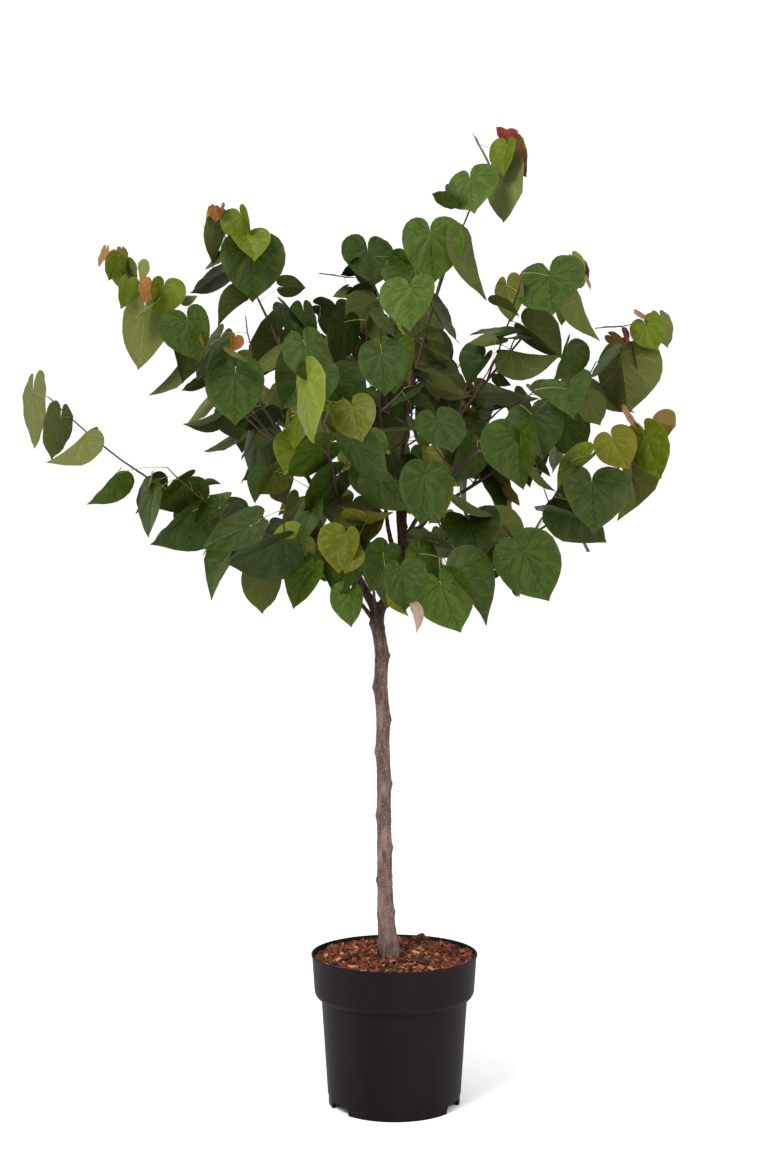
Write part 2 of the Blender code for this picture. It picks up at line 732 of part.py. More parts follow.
def fuse(name, parts, look):
    """Join a stem, its twigs and its leaves into one closed solid."""
    stem, rest = parts[0], parts[1:]
    thing = add_object(name, mesh_of(*stem), look)
    group = bpy.data.collections.new(name + "_parts")
    bpy.context.scene.collection.children.link(group)
    for points, faces in rest:
        group.objects.link(bpy.data.objects.new("part", mesh_of(points, faces)))
    bpy.context.view_layer.update()
    for solver in ("EXACT", "MANIFOLD"):
        result = largest_piece(apply_boolean(thing, "UNION", group=group, solver=solver))
        if is_closed(result) and len(result.polygons) > len(rest) * LEAST_FACES:
            break
    for part in list(group.objects):
        bpy.data.objects.remove(part, do_unlink=True)
    bpy.data.collections.remove(group)
    thing.data = result
    thing.data.name = name
    thing.data.materials.clear()
    thing.data.materials.append(look)
    return thing


def is_closed(mesh):
    bm = bmesh.new()
    bm.from_mesh(mesh)
    closed = len(bm.faces) > 0 and all(edge.is_manifold for edge in bm.edges)
    bm.free()
    return closed


def solid(limb, extra=0.0):
    return tube(limb.path, limb.radii, limb.sides, extra)


def grow(row, stems, room):
    """One mass: its stem, side twigs and leaves, each kept clear of all that stands already."""
    dice = random.Random(row.seed)
    stem = stems[row.name]
    others = [other.path for name, other in stems.items() if name != row.name]
    twigs = []
    for twig in side_twigs(stem, row, dice):
        if room.is_free(*solid(twig, ELBOW_ROOM), stem):
            twigs.append(twig)
            room.add(*solid(twig), twig)
    parts = [solid(limb) for limb in [stem] + twigs]
    parts += leaves_along(stem, row, room, stem.path, others, dice, row.bare)
    for twig in twigs:
        parts += leaves_along(twig, row, room, stem.path, others, dice, TWIG_BARE)
    return parts


def make_masses(limbs):
    """Every stem is in place before the first leaf, so that no leaf crosses any wood."""
    room = Space()
    for limb in limbs.values():
        room.add(*solid(limb, CLEARANCE), limb)
    stems = {row.name: mass_stem(row, limbs) for row in MASSES}
    for stem in stems.values():
        room.add(*solid(stem), stem)
    for row in MASSES:
        look = material(row.name, (0.075, 0.13, 0.035), 0.55)
        fuse(row.name, grow(row, stems, room), look)


def main():
    clear_scene()
    make_pot()
    make_compost()
    limbs = {"trunk": make_trunk()}
    make_mulch(limbs["trunk"].mesh(CLEARANCE))
    for row in BOUGHS:
        limbs[row.name] = make_bough(row, limbs)
    make_masses(limbs)


main()
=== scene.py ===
# %% [markdown]
# # A young redbud on a slim stem, in its nursery pot
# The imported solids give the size, the limbs and the masses of leaves. This lesson grows the
# real surfaces over them: a turned pot, bark chips, a stem with bark and buds, and leaves
# that follow the same seeded rule as the solids, carried on to finer twigs.

import json
import math
import random
from collections import namedtuple

import bmesh
import bpy
import numpy as np
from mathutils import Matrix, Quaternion, Vector, noise
from mathutils.bvhtree import BVHTree
from mathutils.geometry import intersect_point_line
from mathutils.kdtree import KDTree

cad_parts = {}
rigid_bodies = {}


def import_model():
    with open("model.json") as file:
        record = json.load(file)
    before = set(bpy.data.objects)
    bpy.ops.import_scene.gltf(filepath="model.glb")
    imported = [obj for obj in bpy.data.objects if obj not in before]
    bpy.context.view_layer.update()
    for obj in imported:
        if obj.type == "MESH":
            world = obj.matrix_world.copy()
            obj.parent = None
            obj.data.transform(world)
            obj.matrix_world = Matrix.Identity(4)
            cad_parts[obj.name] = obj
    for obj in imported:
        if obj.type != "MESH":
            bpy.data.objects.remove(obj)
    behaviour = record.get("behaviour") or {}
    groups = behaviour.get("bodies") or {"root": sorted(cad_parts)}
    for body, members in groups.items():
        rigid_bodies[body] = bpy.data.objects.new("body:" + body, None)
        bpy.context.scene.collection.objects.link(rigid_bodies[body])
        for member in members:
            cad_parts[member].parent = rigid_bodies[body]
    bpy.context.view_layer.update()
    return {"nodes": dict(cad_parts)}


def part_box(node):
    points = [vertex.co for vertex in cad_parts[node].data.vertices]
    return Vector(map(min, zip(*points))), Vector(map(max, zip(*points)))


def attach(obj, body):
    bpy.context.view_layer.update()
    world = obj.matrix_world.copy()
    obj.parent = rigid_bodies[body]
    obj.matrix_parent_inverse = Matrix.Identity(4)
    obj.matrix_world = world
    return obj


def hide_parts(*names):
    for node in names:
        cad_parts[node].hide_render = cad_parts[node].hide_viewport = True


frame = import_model()

# %% [markdown]
# ## The camera
# The rim and the foot of the pot are two circles of known size. Their ellipses in the photo
# fix the camera: level, 0.886 m up, 2.75 m in front of the pot, with a 51 mm lens.

# %% Set the camera
CAMERA_PLACE = (-0.0174, -2.75, 0.886)
FOCAL_PIXELS = 1630.0
PHOTO_SIZE = (768.0, 1151.0)
SENSOR = 36.0

camera_data = bpy.data.cameras.new("camera")
camera_data.sensor_width = SENSOR
camera_data.lens = SENSOR * FOCAL_PIXELS / PHOTO_SIZE[1]
camera = bpy.data.objects.new("camera", camera_data)
camera.location = CAMERA_PLACE
camera.rotation_euler = (math.radians(90.0), 0.0, 0.0)
bpy.context.scene.collection.objects.link(camera)
bpy.context.scene.camera = camera
print("lens:", round(camera_data.lens, 2), "mm")


# %% Go between the photo and the frame
def from_photo(px, py, depth):
    """The point at a depth that appears at a place of the photo."""
    scale = (depth - CAMERA_PLACE[1]) / FOCAL_PIXELS
    return Vector((CAMERA_PLACE[0] + (px - PHOTO_SIZE[0] / 2) * scale, depth,
                   CAMERA_PLACE[2] - (py - PHOTO_SIZE[1] / 2) * scale))


def in_photo(point):
    """Where a point appears in the photo, in pixels across and down."""
    scale = FOCAL_PIXELS / (point.y - CAMERA_PLACE[1])
    return Vector((PHOTO_SIZE[0] / 2 + (point.x - CAMERA_PLACE[0]) * scale,
                   PHOTO_SIZE[1] / 2 - (point.z - CAMERA_PLACE[2]) * scale))


print("the rim's middle appears at", tuple(round(v) for v in in_photo(Vector((0.0, 0.0, 0.25)))))

# %% [markdown]
# ## Shader maths as Python
# A node tree for bark or plastic is a long sum of noises. Wrapping a socket in a small class
# with overloaded operators lets that sum be read as a formula, and one method adds any other
# node. Both keep the recipe of a finish to a few lines.


# %% One wrapped socket, and a look that is being mixed
class Value:
    """One number or colour in a look's nodes."""

    def __init__(self, look, socket):
        self.look = look
        self.socket = socket

    def maths(self, operation, first, second):
        return self.look.node("ShaderNodeMath", {"operation": operation}, {0: first, 1: second})

    def __add__(self, other):
        return self.maths("ADD", self, other)

    def __radd__(self, other):
        return self.maths("ADD", other, self)

    def __sub__(self, other):
        return self.maths("SUBTRACT", self, other)

    def __rsub__(self, other):
        return self.maths("SUBTRACT", other, self)

    def __mul__(self, other):
        return self.maths("MULTIPLY", self, other)

    def __rmul__(self, other):
        return self.maths("MULTIPLY", other, self)


class Look:
    """A material: a Principled shader, and the nodes that feed it."""

    def __init__(self, name, colour, roughness, shine=0.5):
        self.material = bpy.data.materials.new(name)
        self.material.use_nodes = True
        self.tree = self.material.node_tree
        self.shader = self.tree.nodes["Principled BSDF"]
        self.feed("Base Color", colour)
        self.feed("Roughness", roughness)
        self.feed("Specular IOR Level", shine)
        self.material.diffuse_color = (*colour, 1.0)

    def put(self, socket, value):
        if isinstance(value, Value):
            self.tree.links.new(value.socket, socket)
        elif isinstance(value, tuple) and socket.type == "RGBA":
            socket.default_value = (*value, 1.0)
        else:
            socket.default_value = value

    def feed(self, name, value):
        self.put(self.shader.inputs[name], value)

    def node(self, kind, settings=None, sockets=None, output=0):
        made = self.tree.nodes.new(kind)
        for key, value in (settings or {}).items():
            if key == "stops":
                ramp = made.color_ramp
                for element, (place, tone) in zip(ramp.elements, value):
                    element.position = place
                    element.color = (tone, tone, tone, 1.0)
            else:
                setattr(made, key, value)
        for key, value in (sockets or {}).items():
            self.put(made.inputs[key], value)
        return Value(self, made.outputs[output])

    def place(self, stretch=(1.0, 1.0, 1.0)):
        """Object coordinates, stretched along each axis."""
        here = self.node("ShaderNodeTexCoord", output=3)
        return self.node("ShaderNodeMapping", None, {"Vector": here, "Scale": stretch})

    def noise(self, scale, detail=3.0, stretch=(1.0, 1.0, 1.0)):
        return self.node("ShaderNodeTexNoise", None,
                         {"Vector": self.place(stretch), "Scale": scale, "Detail": detail})

    def ramp(self, value, low, high):
        """Nought below low, one above high, and a straight rise between."""
        return self.node("ShaderNodeValToRGB", {"stops": ((low, 0.0), (high, 1.0))}, {0: value})

    def mix(self, share, first, second):
        return self.node("ShaderNodeMix", {"data_type": "RGBA"},
                         {0: share, 6: first, 7: second}, output=2)

    def bump(self, height, distance, strength=1.0):
        return self.node("ShaderNodeBump", None,
                         {"Height": height, "Distance": distance, "Strength": strength})


def paint(red, green, blue):
    """A colour given as on a screen, 0 to 255, in the renderer's own linear light."""
    return tuple(((c / 255.0 + 0.055) / 1.055) ** 2.4 for c in (red, green, blue))


print("paint(50, 90, 40) is", tuple(round(c, 3) for c in paint(50, 90, 40)))

# %% [markdown]
# ## Floor and light
# The photo is a studio shot on white. A pale floor, a white surround and two large soft lamps
# give that: one high on the left for form, and a weaker one on the right.


# %% Set the stage
FLOOR_RADIUS = 30.0
SURROUND = 1.06


def staged_floor():
    bm = bmesh.new()
    bmesh.ops.create_circle(bm, cap_ends=True, segments=96, radius=FLOOR_RADIUS)
    mesh = bpy.data.meshes.new("floor")
    bm.to_mesh(mesh)
    bm.free()
    floor = bpy.data.objects.new("floor", mesh)
    bpy.context.scene.collection.objects.link(floor)
    mesh.materials.append(Look("pale_floor", paint(250, 250, 250), 0.9, 0.1).material)


def soft_lamp(name, place, target, size, power):
    data = bpy.data.lights.new(name, "AREA")
    data.shape = "DISK"
    data.size = size
    data.energy = power
    lamp = bpy.data.objects.new(name, data)
    lamp.location = place
    lamp.rotation_euler = (Vector(target) - Vector(place)).to_track_quat("-Z", "Y").to_euler()
    bpy.context.scene.collection.objects.link(lamp)


staged_floor()
world = bpy.data.worlds.new("studio")
world.use_nodes = True
surround = world.node_tree.nodes["Background"]
surround.inputs["Color"].default_value = (1.0, 1.0, 1.0, 1.0)
surround.inputs["Strength"].default_value = SURROUND
bpy.context.scene.world = world
bpy.context.scene.view_settings.view_transform = "Standard"
soft_lamp("key_lamp", (-1.6, -2.4, 3.4), (0.0, 0.0, 1.0), 1.6, 150.0)
soft_lamp("fill_lamp", (2.4, -2.2, 2.2), (0.0, 0.0, 0.9), 1.8, 45.0)
print("lamps:", [o.name for o in bpy.data.objects if o.type == "LIGHT"])

# %% [markdown]
# ## Shared hands
# A finished bmesh becomes a piece with its materials and rides on the one body. Where
# hundreds of copies are needed, a shape is made once with bmesh and kept as arrays, and a
# pile gathers moved copies of those arrays into one joined mesh.


# %% From a bmesh to a piece, and from shapes to a pile
def finished(name, mesh, looks, replaces=()):
    piece = bpy.data.objects.new(name, mesh)
    bpy.context.scene.collection.objects.link(piece)
    for look in looks:
        mesh.materials.append(look.material)
    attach(piece, "root")
    if replaces:
        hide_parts(*replaces)
    triangles = sum(len(face.vertices) - 2 for face in mesh.polygons)
    print(name, "triangles:", triangles)
    return piece


def mesh_from(bm, name, outward=True):
    if outward:
        bmesh.ops.recalc_face_normals(bm, faces=bm.faces)
    mesh = bpy.data.meshes.new(name)
    bm.to_mesh(mesh)
    bm.free()
    return mesh


def shade(mesh, angle):
    mesh.shade_smooth()
    mesh.set_sharp_from_angle(angle=math.radians(angle))


Shape = namedtuple("Shape", "points faces slots")


def shape_of(bm, outward=True):
    """A small bmesh as arrays, ready to be copied many times."""
    if outward:
        bmesh.ops.recalc_face_normals(bm, faces=bm.faces)
    bm.verts.ensure_lookup_table()
    points = np.array([vert.co[:] for vert in bm.verts])
    faces = [[vert.index for vert in face.verts] for face in bm.faces]
    slots = [face.material_index for face in bm.faces]
    bm.free()
    return Shape(points, faces, slots)


class Pile:
    """Copies of small shapes, gathered to become one joined mesh."""

    def __init__(self):
        self.points = []
        self.faces = []
        self.slots = []
        self.count = 0

    def add(self, shape, points, first_slot=0):
        self.points.append(points)
        start = self.count
        self.faces += [[start + corner for corner in face] for face in shape.faces]
        self.slots += [first_slot + slot for slot in shape.slots]
        self.count += len(points)

    def mesh(self, name, smooth_angle=None):
        mesh = bpy.data.meshes.new(name)
        mesh.from_pydata(np.concatenate(self.points), [], self.faces)
        mesh.polygons.foreach_set("material_index", self.slots)
        mesh.update()
        mesh.shade_smooth()
        if smooth_angle is not None:
            mesh.set_sharp_from_angle(angle=math.radians(smooth_angle))
        return mesh


print("hands ready")

# %% [markdown]
# ## The pot
# A nursery pot is one injection-moulded wall 2 mm thick: a tapering body, a wider collar with
# a thin lip, and a foot ring cut through by three drainage notches. It is round, so it is one
# profile spun about the middle. Each corner of the profile is softened first, as the mould
# leaves no sharp edge, and each notch is cut by a wedge.

# %% The pot's profile
RIM_RADIUS = 0.140
RIM_HEIGHT = 0.250
LIP_WIDTH = 0.0014
LIP_DEPTH = 0.0042
COLLAR_RADIUS = 0.1345
COLLAR_FOOT = 0.190
NECK_RADIUS = 0.1231
NECK_HEIGHT = 0.177
BODY_RADIUS = 0.1120
LEDGE_HEIGHT = 0.016
FOOT_RADIUS = 0.1105
DISC_RADIUS = 0.080
FOOT_RING = 0.005
WALL = 0.002
MOULD_EDGE = 0.0014
POT_STEPS = 144
NOTCH_BEARINGS = (-56.0, 64.0, 184.0)
NOTCH_HEIGHT = 0.0115
NOTCH_HALF_TOP = math.radians(11.4)
NOTCH_HALF_FOOT = math.radians(13.6)
# the wedge that cuts a notch, from inside the foot ring to outside it, and below the floor
WEDGE_RADII = (FOOT_RADIUS - 0.011, FOOT_RADIUS + 0.005)
WEDGE_FOOT = -0.004


def softened(corners, width):
    """The profile with each inner corner cut back by a width and rounded with one more point."""
    path = [corners[0]]
    for before, corner, after in zip(corners, corners[1:], corners[2:]):
        before, corner, after = Vector(before), Vector(corner), Vector(after)
        back = min(width, 0.4 * (before - corner).length, 0.4 * (after - corner).length)
        start = corner + (before - corner).normalized() * back
        end = corner + (after - corner).normalized() * back
        path += [tuple(start), tuple(0.25 * start + 0.5 * corner + 0.25 * end), tuple(end)]
    return path + [corners[-1]]


def pot_profile():
    inner_foot = FOOT_RADIUS - FOOT_RING
    outside = [
        (0.0, 0.0), (DISC_RADIUS, 0.0), (DISC_RADIUS + WALL, LEDGE_HEIGHT - WALL),
        (inner_foot, LEDGE_HEIGHT - WALL), (inner_foot, 0.0), (FOOT_RADIUS, 0.0),
        (FOOT_RADIUS, LEDGE_HEIGHT - 0.0008), (BODY_RADIUS, LEDGE_HEIGHT),
        (NECK_RADIUS, NECK_HEIGHT), (NECK_RADIUS + 0.006, NECK_HEIGHT + 0.0015),
        (COLLAR_RADIUS - 0.0025, COLLAR_FOOT - 0.0085), (COLLAR_RADIUS, COLLAR_FOOT - 0.003),
        (RIM_RADIUS - LIP_WIDTH, RIM_HEIGHT - LIP_DEPTH), (RIM_RADIUS, RIM_HEIGHT - LIP_DEPTH + 0.001),
        (RIM_RADIUS, RIM_HEIGHT),
    ]
    inside = [
        (RIM_RADIUS - WALL - 0.0006, RIM_HEIGHT), (COLLAR_RADIUS - WALL, COLLAR_FOOT),
        (NECK_RADIUS - WALL, NECK_HEIGHT), (BODY_RADIUS - WALL, LEDGE_HEIGHT),
        (DISC_RADIUS, LEDGE_HEIGHT), (DISC_RADIUS - WALL, WALL), (0.0, WALL),
    ]
    return softened(outside + inside, MOULD_EDGE)


def spun(profile, steps):
    """A closed solid turned about Z from a profile that starts and ends on the axis."""
    bm = bmesh.new()
    points = [bm.verts.new((radius, 0.0, height)) for radius, height in profile]
    edges = [bm.edges.new(pair) for pair in zip(points, points[1:])]
    bmesh.ops.spin(bm, geom=points + edges, cent=(0, 0, 0), axis=(0, 0, 1),
                   angle=2.0 * math.pi, steps=steps, use_merge=True)
    bmesh.ops.remove_doubles(bm, verts=bm.verts, dist=1e-6)
    return bm


print("pot profile points:", len(pot_profile()))


# %% Spin the pot and cut its notches
def notch_wedge(bearing):
    """A wedge through the foot ring, wider at the floor, as the mould's draft leaves it."""
    bm = bmesh.new()
    bmesh.ops.create_cube(bm, size=1.0)
    middle = math.radians(bearing)
    for vert in bm.verts:
        low = vert.co.z < 0.0
        half = NOTCH_HALF_FOOT if low else NOTCH_HALF_TOP
        radius = WEDGE_RADII[vert.co.y > 0.0]
        turn = middle + math.copysign(half, vert.co.x)
        height = WEDGE_FOOT if low else NOTCH_HEIGHT
        vert.co = (radius * math.sin(turn), -radius * math.cos(turn), height)
    return mesh_from(bm, "notch_wedge")


def cut_with(thing, cutter_mesh):
    """Take one cutter away from an object by an applied Boolean."""
    cutter = bpy.data.objects.new("cutter", cutter_mesh)
    bpy.context.scene.collection.objects.link(cutter)
    step = thing.modifiers.new("cut", "BOOLEAN")
    step.operation = "DIFFERENCE"
    step.object = cutter
    bpy.context.view_layer.update()
    seen = thing.evaluated_get(bpy.context.evaluated_depsgraph_get())
    thing.data = bpy.data.meshes.new_from_object(seen)
    thing.modifiers.remove(step)
    bpy.data.objects.remove(cutter, do_unlink=True)


def plastic_look():
    """Satin black plastic with a faint warm tone, fine grain and dull smears."""
    look = Look("black_plastic", paint(20, 15, 18), 0.55, 0.06)
    smears = look.noise(9.0, 4.0, (1.0, 1.0, 0.35))
    grain = look.noise(900.0, 2.0)
    look.feed("Base Color", look.mix(look.ramp(smears, 0.35, 0.7), paint(15, 10, 13),
                                     paint(25, 19, 23)))
    look.feed("Roughness", 0.48 + 0.14 * smears)
    look.feed("Normal", look.bump(grain + 0.8 * look.noise(120.0), 0.00010, 0.5))
    return look


pot = finished("nursery_pot", mesh_from(spun(pot_profile(), POT_STEPS), "nursery_pot"),
               [plastic_look()], ["pot"])
for bearing in NOTCH_BEARINGS:
    cut_with(pot, notch_wedge(bearing))
shade(pot.data, 40.0)
print("pot faces after the notches:", len(pot.data.polygons))

# %% [markdown]
# ## Compost and bark mulch
# The compost is out of sight, so its solid stays and only gets a crumbly finish. The mulch on
# it is what shows: a dark uneven bed, and on it shreds and chips of bark that lie every way.
# A chip is a cube, flattened, with its ends cut off askew. A few kinds are made and copied.


# %% Give the compost its finish, and make the bed
def crumbly_look(name, dark, light, size):
    look = Look(name, light, 0.95, 0.2)
    crumbs = look.noise(size, 6.0)
    look.feed("Base Color", look.mix(look.ramp(crumbs, 0.38, 0.66), dark, light))
    look.feed("Normal", look.bump(crumbs, 0.004))
    return look


MULCH_TOP = 0.243
MULCH_MOUND = 0.005
BED_RADIUS = 0.1358
BED_FOOT = 0.2363
BED_BELOW_CHIPS = 0.0012
BED_RINGS = 22
BED_STEPS = 96


def bed_height(x, y):
    """The top of the mulch: mounded round the stem, with lumps and hollows."""
    share = min(math.hypot(x, y) / BED_RADIUS, 1.0)
    lumps = noise.noise(Vector((x, y, 0.3)) * 42.0) * 0.0030
    lumps += noise.noise(Vector((x, y, 5.1)) * 130.0) * 0.0012
    mound = MULCH_MOUND * (1.0 - share) ** 2
    return MULCH_TOP - BED_BELOW_CHIPS + mound + lumps * min(1.0, 6.0 * (1.0 - share))


def mulch_bed():
    profile = [(0.0, BED_FOOT), (BED_RADIUS, BED_FOOT)]
    profile += [(BED_RADIUS * (1.0 - ring / BED_RINGS), MULCH_TOP) for ring in range(BED_RINGS + 1)]
    bm = spun(profile, BED_STEPS)
    for vert in bm.verts:
        if vert.co.z > BED_FOOT + 0.001:
            vert.co.z = bed_height(vert.co.x, vert.co.y)
    mesh = mesh_from(bm, "mulch_bed")
    mesh.shade_smooth()
    return mesh


soil = crumbly_look("compost", paint(24, 17, 13), paint(62, 44, 32), 160.0)
frame["nodes"]["compost"].data.materials.clear()
frame["nodes"]["compost"].data.materials.append(soil.material)
bed_look = crumbly_look("mulch_bed", paint(18, 8, 5), paint(70, 34, 18), 260.0)
finished("mulch_bed", mulch_bed(), [bed_look], ["bark_mulch"])
print("bed height at the stem:", round(bed_height(0.0, 0.0), 4))

# %% Cut the kinds of chip
CHIP_KINDS = 9
CHIP_COUNT = 1750
CHIP_TONES = {
    "chip_dark": paint(38, 16, 9), "chip_brown": paint(76, 36, 19), "chip_red": paint(104, 48, 25),
    "chip_orange": paint(140, 76, 42), "chip_pale": paint(164, 116, 80), "chip_grey": paint(88, 66, 50),
}
CHIP_SHARES = (26, 30, 24, 12, 4, 4)
CHIP_SIZES = (0.006, 0.009, 0.012, 0.016, 0.021)
BIG_CHIP = 0.014
# how far big chips and small ones tilt
CHIP_TILTS = (0.32, 0.55)
CHIP_LIFTS = (0.0004, 0.0030)
# the few chips that stand up over the rim at the back: place, size, pitch and yaw
RIM_CHIPS = ((0.044, 0.112, 0.024, -0.8, 0.3), (0.054, 0.108, 0.020, -0.6, 2.6),
             (0.036, 0.106, 0.018, -0.4, 1.2))
RIM_CHIP_HEIGHT = 0.2510


def chip_shape(dice):
    """One flake of bark about one unit long: a slab with both ends and a side cut askew."""
    bm = bmesh.new()
    bmesh.ops.create_cube(bm, size=1.0)
    width = dice.uniform(0.22, 0.62)
    bmesh.ops.scale(bm, verts=bm.verts, vec=(1.0, width, dice.uniform(0.10, 0.22)))
    bmesh.ops.subdivide_edges(bm, edges=bm.edges, cuts=1, use_grid_fill=True)
    bend = dice.uniform(-0.35, 0.35)
    for vert in bm.verts:
        vert.co.z += bend * vert.co.x ** 2
        vert.co.y *= 1.0 - 0.5 * abs(vert.co.x)
        vert.co += Vector([dice.uniform(-0.035, 0.035) for _ in range(3)])
    for end in (-1.0, 1.0):
        skew = Vector((end, dice.uniform(-0.9, 0.9), dice.uniform(-0.5, 0.5))).normalized()
        cut = bmesh.ops.bisect_plane(bm, geom=bm.verts[:] + bm.edges[:] + bm.faces[:],
                                     plane_co=(end * dice.uniform(0.28, 0.42), 0.0, 0.0),
                                     plane_no=skew, clear_outer=True)
        rim = [part for part in cut["geom_cut"] if isinstance(part, bmesh.types.BMEdge)]
        bmesh.ops.holes_fill(bm, edges=rim)
    return shape_of(bm)


def turned_about(points, yaw, pitch, roll):
    """Points turned about Z, Y and X, in that order of angles."""
    cy, sy = math.cos(yaw), math.sin(yaw)
    cp, sp = math.cos(pitch), math.sin(pitch)
    cr, sr = math.cos(roll), math.sin(roll)
    about_x = np.array([[1, 0, 0], [0, cr, -sr], [0, sr, cr]])
    about_y = np.array([[cp, 0, sp], [0, 1, 0], [-sp, 0, cp]])
    about_z = np.array([[cy, -sy, 0], [sy, cy, 0], [0, 0, 1]])
    return points @ (about_z @ about_y @ about_x).T


def scattered_chips():
    dice = random.Random(12)
    kinds = [chip_shape(dice) for _ in range(CHIP_KINDS)]
    pile = Pile()
    for _ in range(CHIP_COUNT):
        radius = BED_RADIUS * math.sqrt(dice.uniform(0.012, 0.93))
        bearing = dice.uniform(0.0, 2.0 * math.pi)
        x, y = radius * math.cos(bearing), radius * math.sin(bearing)
        size = dice.choice(CHIP_SIZES) * dice.uniform(0.8, 1.2)
        size = min(size, 1.8 * (BED_RADIUS - radius) + 0.004)
        shape = dice.choice(kinds)
        tilt = CHIP_TILTS[size < BIG_CHIP]
        points = turned_about(shape.points * size, dice.uniform(0.0, 2.0 * math.pi),
                              dice.gauss(0.0, tilt), dice.gauss(0.0, tilt))
        lift = dice.uniform(*CHIP_LIFTS)
        slot = dice.choices(range(len(CHIP_TONES)), CHIP_SHARES)[0]
        pile.add(shape, points + (x, y, bed_height(x, y) + lift), slot)
    shape = kinds[2]
    for x, y, size, pitch, yaw in RIM_CHIPS:
        points = turned_about(shape.points * size, yaw, pitch, 0.2)
        pile.add(shape, points + (x, y, RIM_CHIP_HEIGHT), 1)
    return pile.mesh("bark_chips", 35.0)


chip_looks = [Look(name, colour, 0.85, 0.25) for name, colour in CHIP_TONES.items()]
finished("bark_chips", scattered_chips(), chip_looks)

# %% [markdown]
# ## The limbs
# The stem and its boughs repeat the named sizes of the solids. A tube is one circle, extruded
# ring by ring into a straight unit tube, that is then bent along a path. All the limbs are
# fused by a voxel remesh, which rounds the forks as growing wood does, and the bark's relief
# is pushed into that skin: long wrinkles, a swelling and a scar at each bud.

# %% The stem's named sizes
CLEARANCE = 0.0003
GROUND = 0.236 + CLEARANCE
FORK = Vector((-0.0275, 0.0, 0.840))
FOOT_X = -0.0035
LEAN_X = -0.0165
LEAN_RISE = 0.045
DRIFT_X = -0.0110
ZIGZAG = 0.0040
FIRST_BUD = 0.265
BUD_SPACING = 0.054
BUD_SWELLING = 0.0007
TRUNK_FOOT_RADIUS = 0.0125
TRUNK_FORK_RADIUS = 0.0113
FLARE = 0.0078
FLARE_RISE = 0.058
TRUNK_SIDES = 10
RINGS_PER_BUD = 2
BOUGH_SIDES = 5
BOUGH_STEP = 0.040
UP = Vector((0.0, 0.0, 1.0))
FRONT = Vector((0.0, -1.0, 0.0))


def trunk_centre(height):
    """The middle of the stem at a height: a bent foot, a slow drift and bud to bud bends."""
    rise = height - GROUND
    share = rise / (FORK.z - GROUND)
    lean = FOOT_X + (LEAN_X - FOOT_X) * (1.0 - math.exp(-rise / LEAN_RISE))
    step = max((height - FIRST_BUD) / BUD_SPACING, 0.0)
    wave = 1.0 - 2.0 * abs((step % 2.0) - 1.0)
    bend = ZIGZAG * share ** 2 * wave
    return Vector((lean + DRIFT_X * share ** 3 + bend, 0.4 * bend, height))


def trunk_radius(height):
    rise = height - GROUND
    share = rise / (FORK.z - GROUND)
    plain = TRUNK_FOOT_RADIUS + share * (TRUNK_FORK_RADIUS - TRUNK_FOOT_RADIUS)
    flare = FLARE * math.exp(-rise / FLARE_RISE)
    step = (height - FIRST_BUD) / BUD_SPACING
    at_bud = abs(step - round(step)) < 0.2 and step > 0.0
    return plain + flare + (BUD_SWELLING if at_bud else 0.0)


def trunk_heights():
    heights = [GROUND, GROUND + 0.012]
    count = int((FORK.z - FIRST_BUD) / BUD_SPACING * RINGS_PER_BUD) + 1
    heights += [FIRST_BUD + BUD_SPACING * ring / RINGS_PER_BUD for ring in range(count)]
    return heights + [FORK.z]


print("stem radius at the ground:", round(trunk_radius(GROUND), 4))


# %% A limb, its path and its solid
def frames_along(path, level=False):
    """A tangent and two steady cross directions at each point; level ones lie flat."""
    frames = []
    side = None
    for index, point in enumerate(path):
        before = path[max(index - 1, 0)]
        after = path[min(index + 1, len(path) - 1)]
        tangent = UP if level else (after - before).normalized()
        if side is None:
            side = tangent.orthogonal().normalized()
        side = (side - tangent * side.dot(tangent)).normalized()
        frames.append((point, tangent, side, tangent.cross(side)))
    return frames


def tube(path, radii, sides, extra=0.0):
    """The space a limb takes, as points and faces for a search tree."""
    points = []
    for (point, _, side, other), radius in zip(frames_along(path), radii):
        for step in range(sides):
            turn = 2.0 * math.pi * step / sides
            spoke = side * math.cos(turn) + other * math.sin(turn)
            points.append(point + spoke * (radius + extra))
    faces = [tuple(reversed(range(sides)))]
    for ring in range(len(path) - 1):
        low = ring * sides
        for step in range(sides):
            after = (step + 1) % sides
            faces.append((low + step, low + after, low + sides + after, low + sides + step))
    faces.append(tuple(range(len(points) - sides, len(points))))
    return points, faces


class Limb:
    """A tapering limb: its path, its radii, and how finely its solid is made."""

    def __init__(self, name, path, radii, sides):
        self.name = name
        self.path = path
        self.radii = radii
        self.sides = sides

    def length(self):
        return sum((b - a).length for a, b in zip(self.path, self.path[1:]))

    def heading(self):
        return (self.path[-1] - self.path[-2]).normalized()

    def at(self, share):
        """The point and the radius at a share of the limb's length."""
        left = max(share, 0.0) * self.length()
        for index, (a, b) in enumerate(zip(self.path, self.path[1:])):
            length = (b - a).length
            if left <= length:
                part = left / length
                radius = self.radii[index] + part * (self.radii[index + 1] - self.radii[index])
                return self.path[index].lerp(self.path[index + 1], part), radius
            left -= length
        return self.path[-1], self.radii[-1]

    def solid(self, extra=0.0):
        return tube(self.path, self.radii, self.sides, extra)


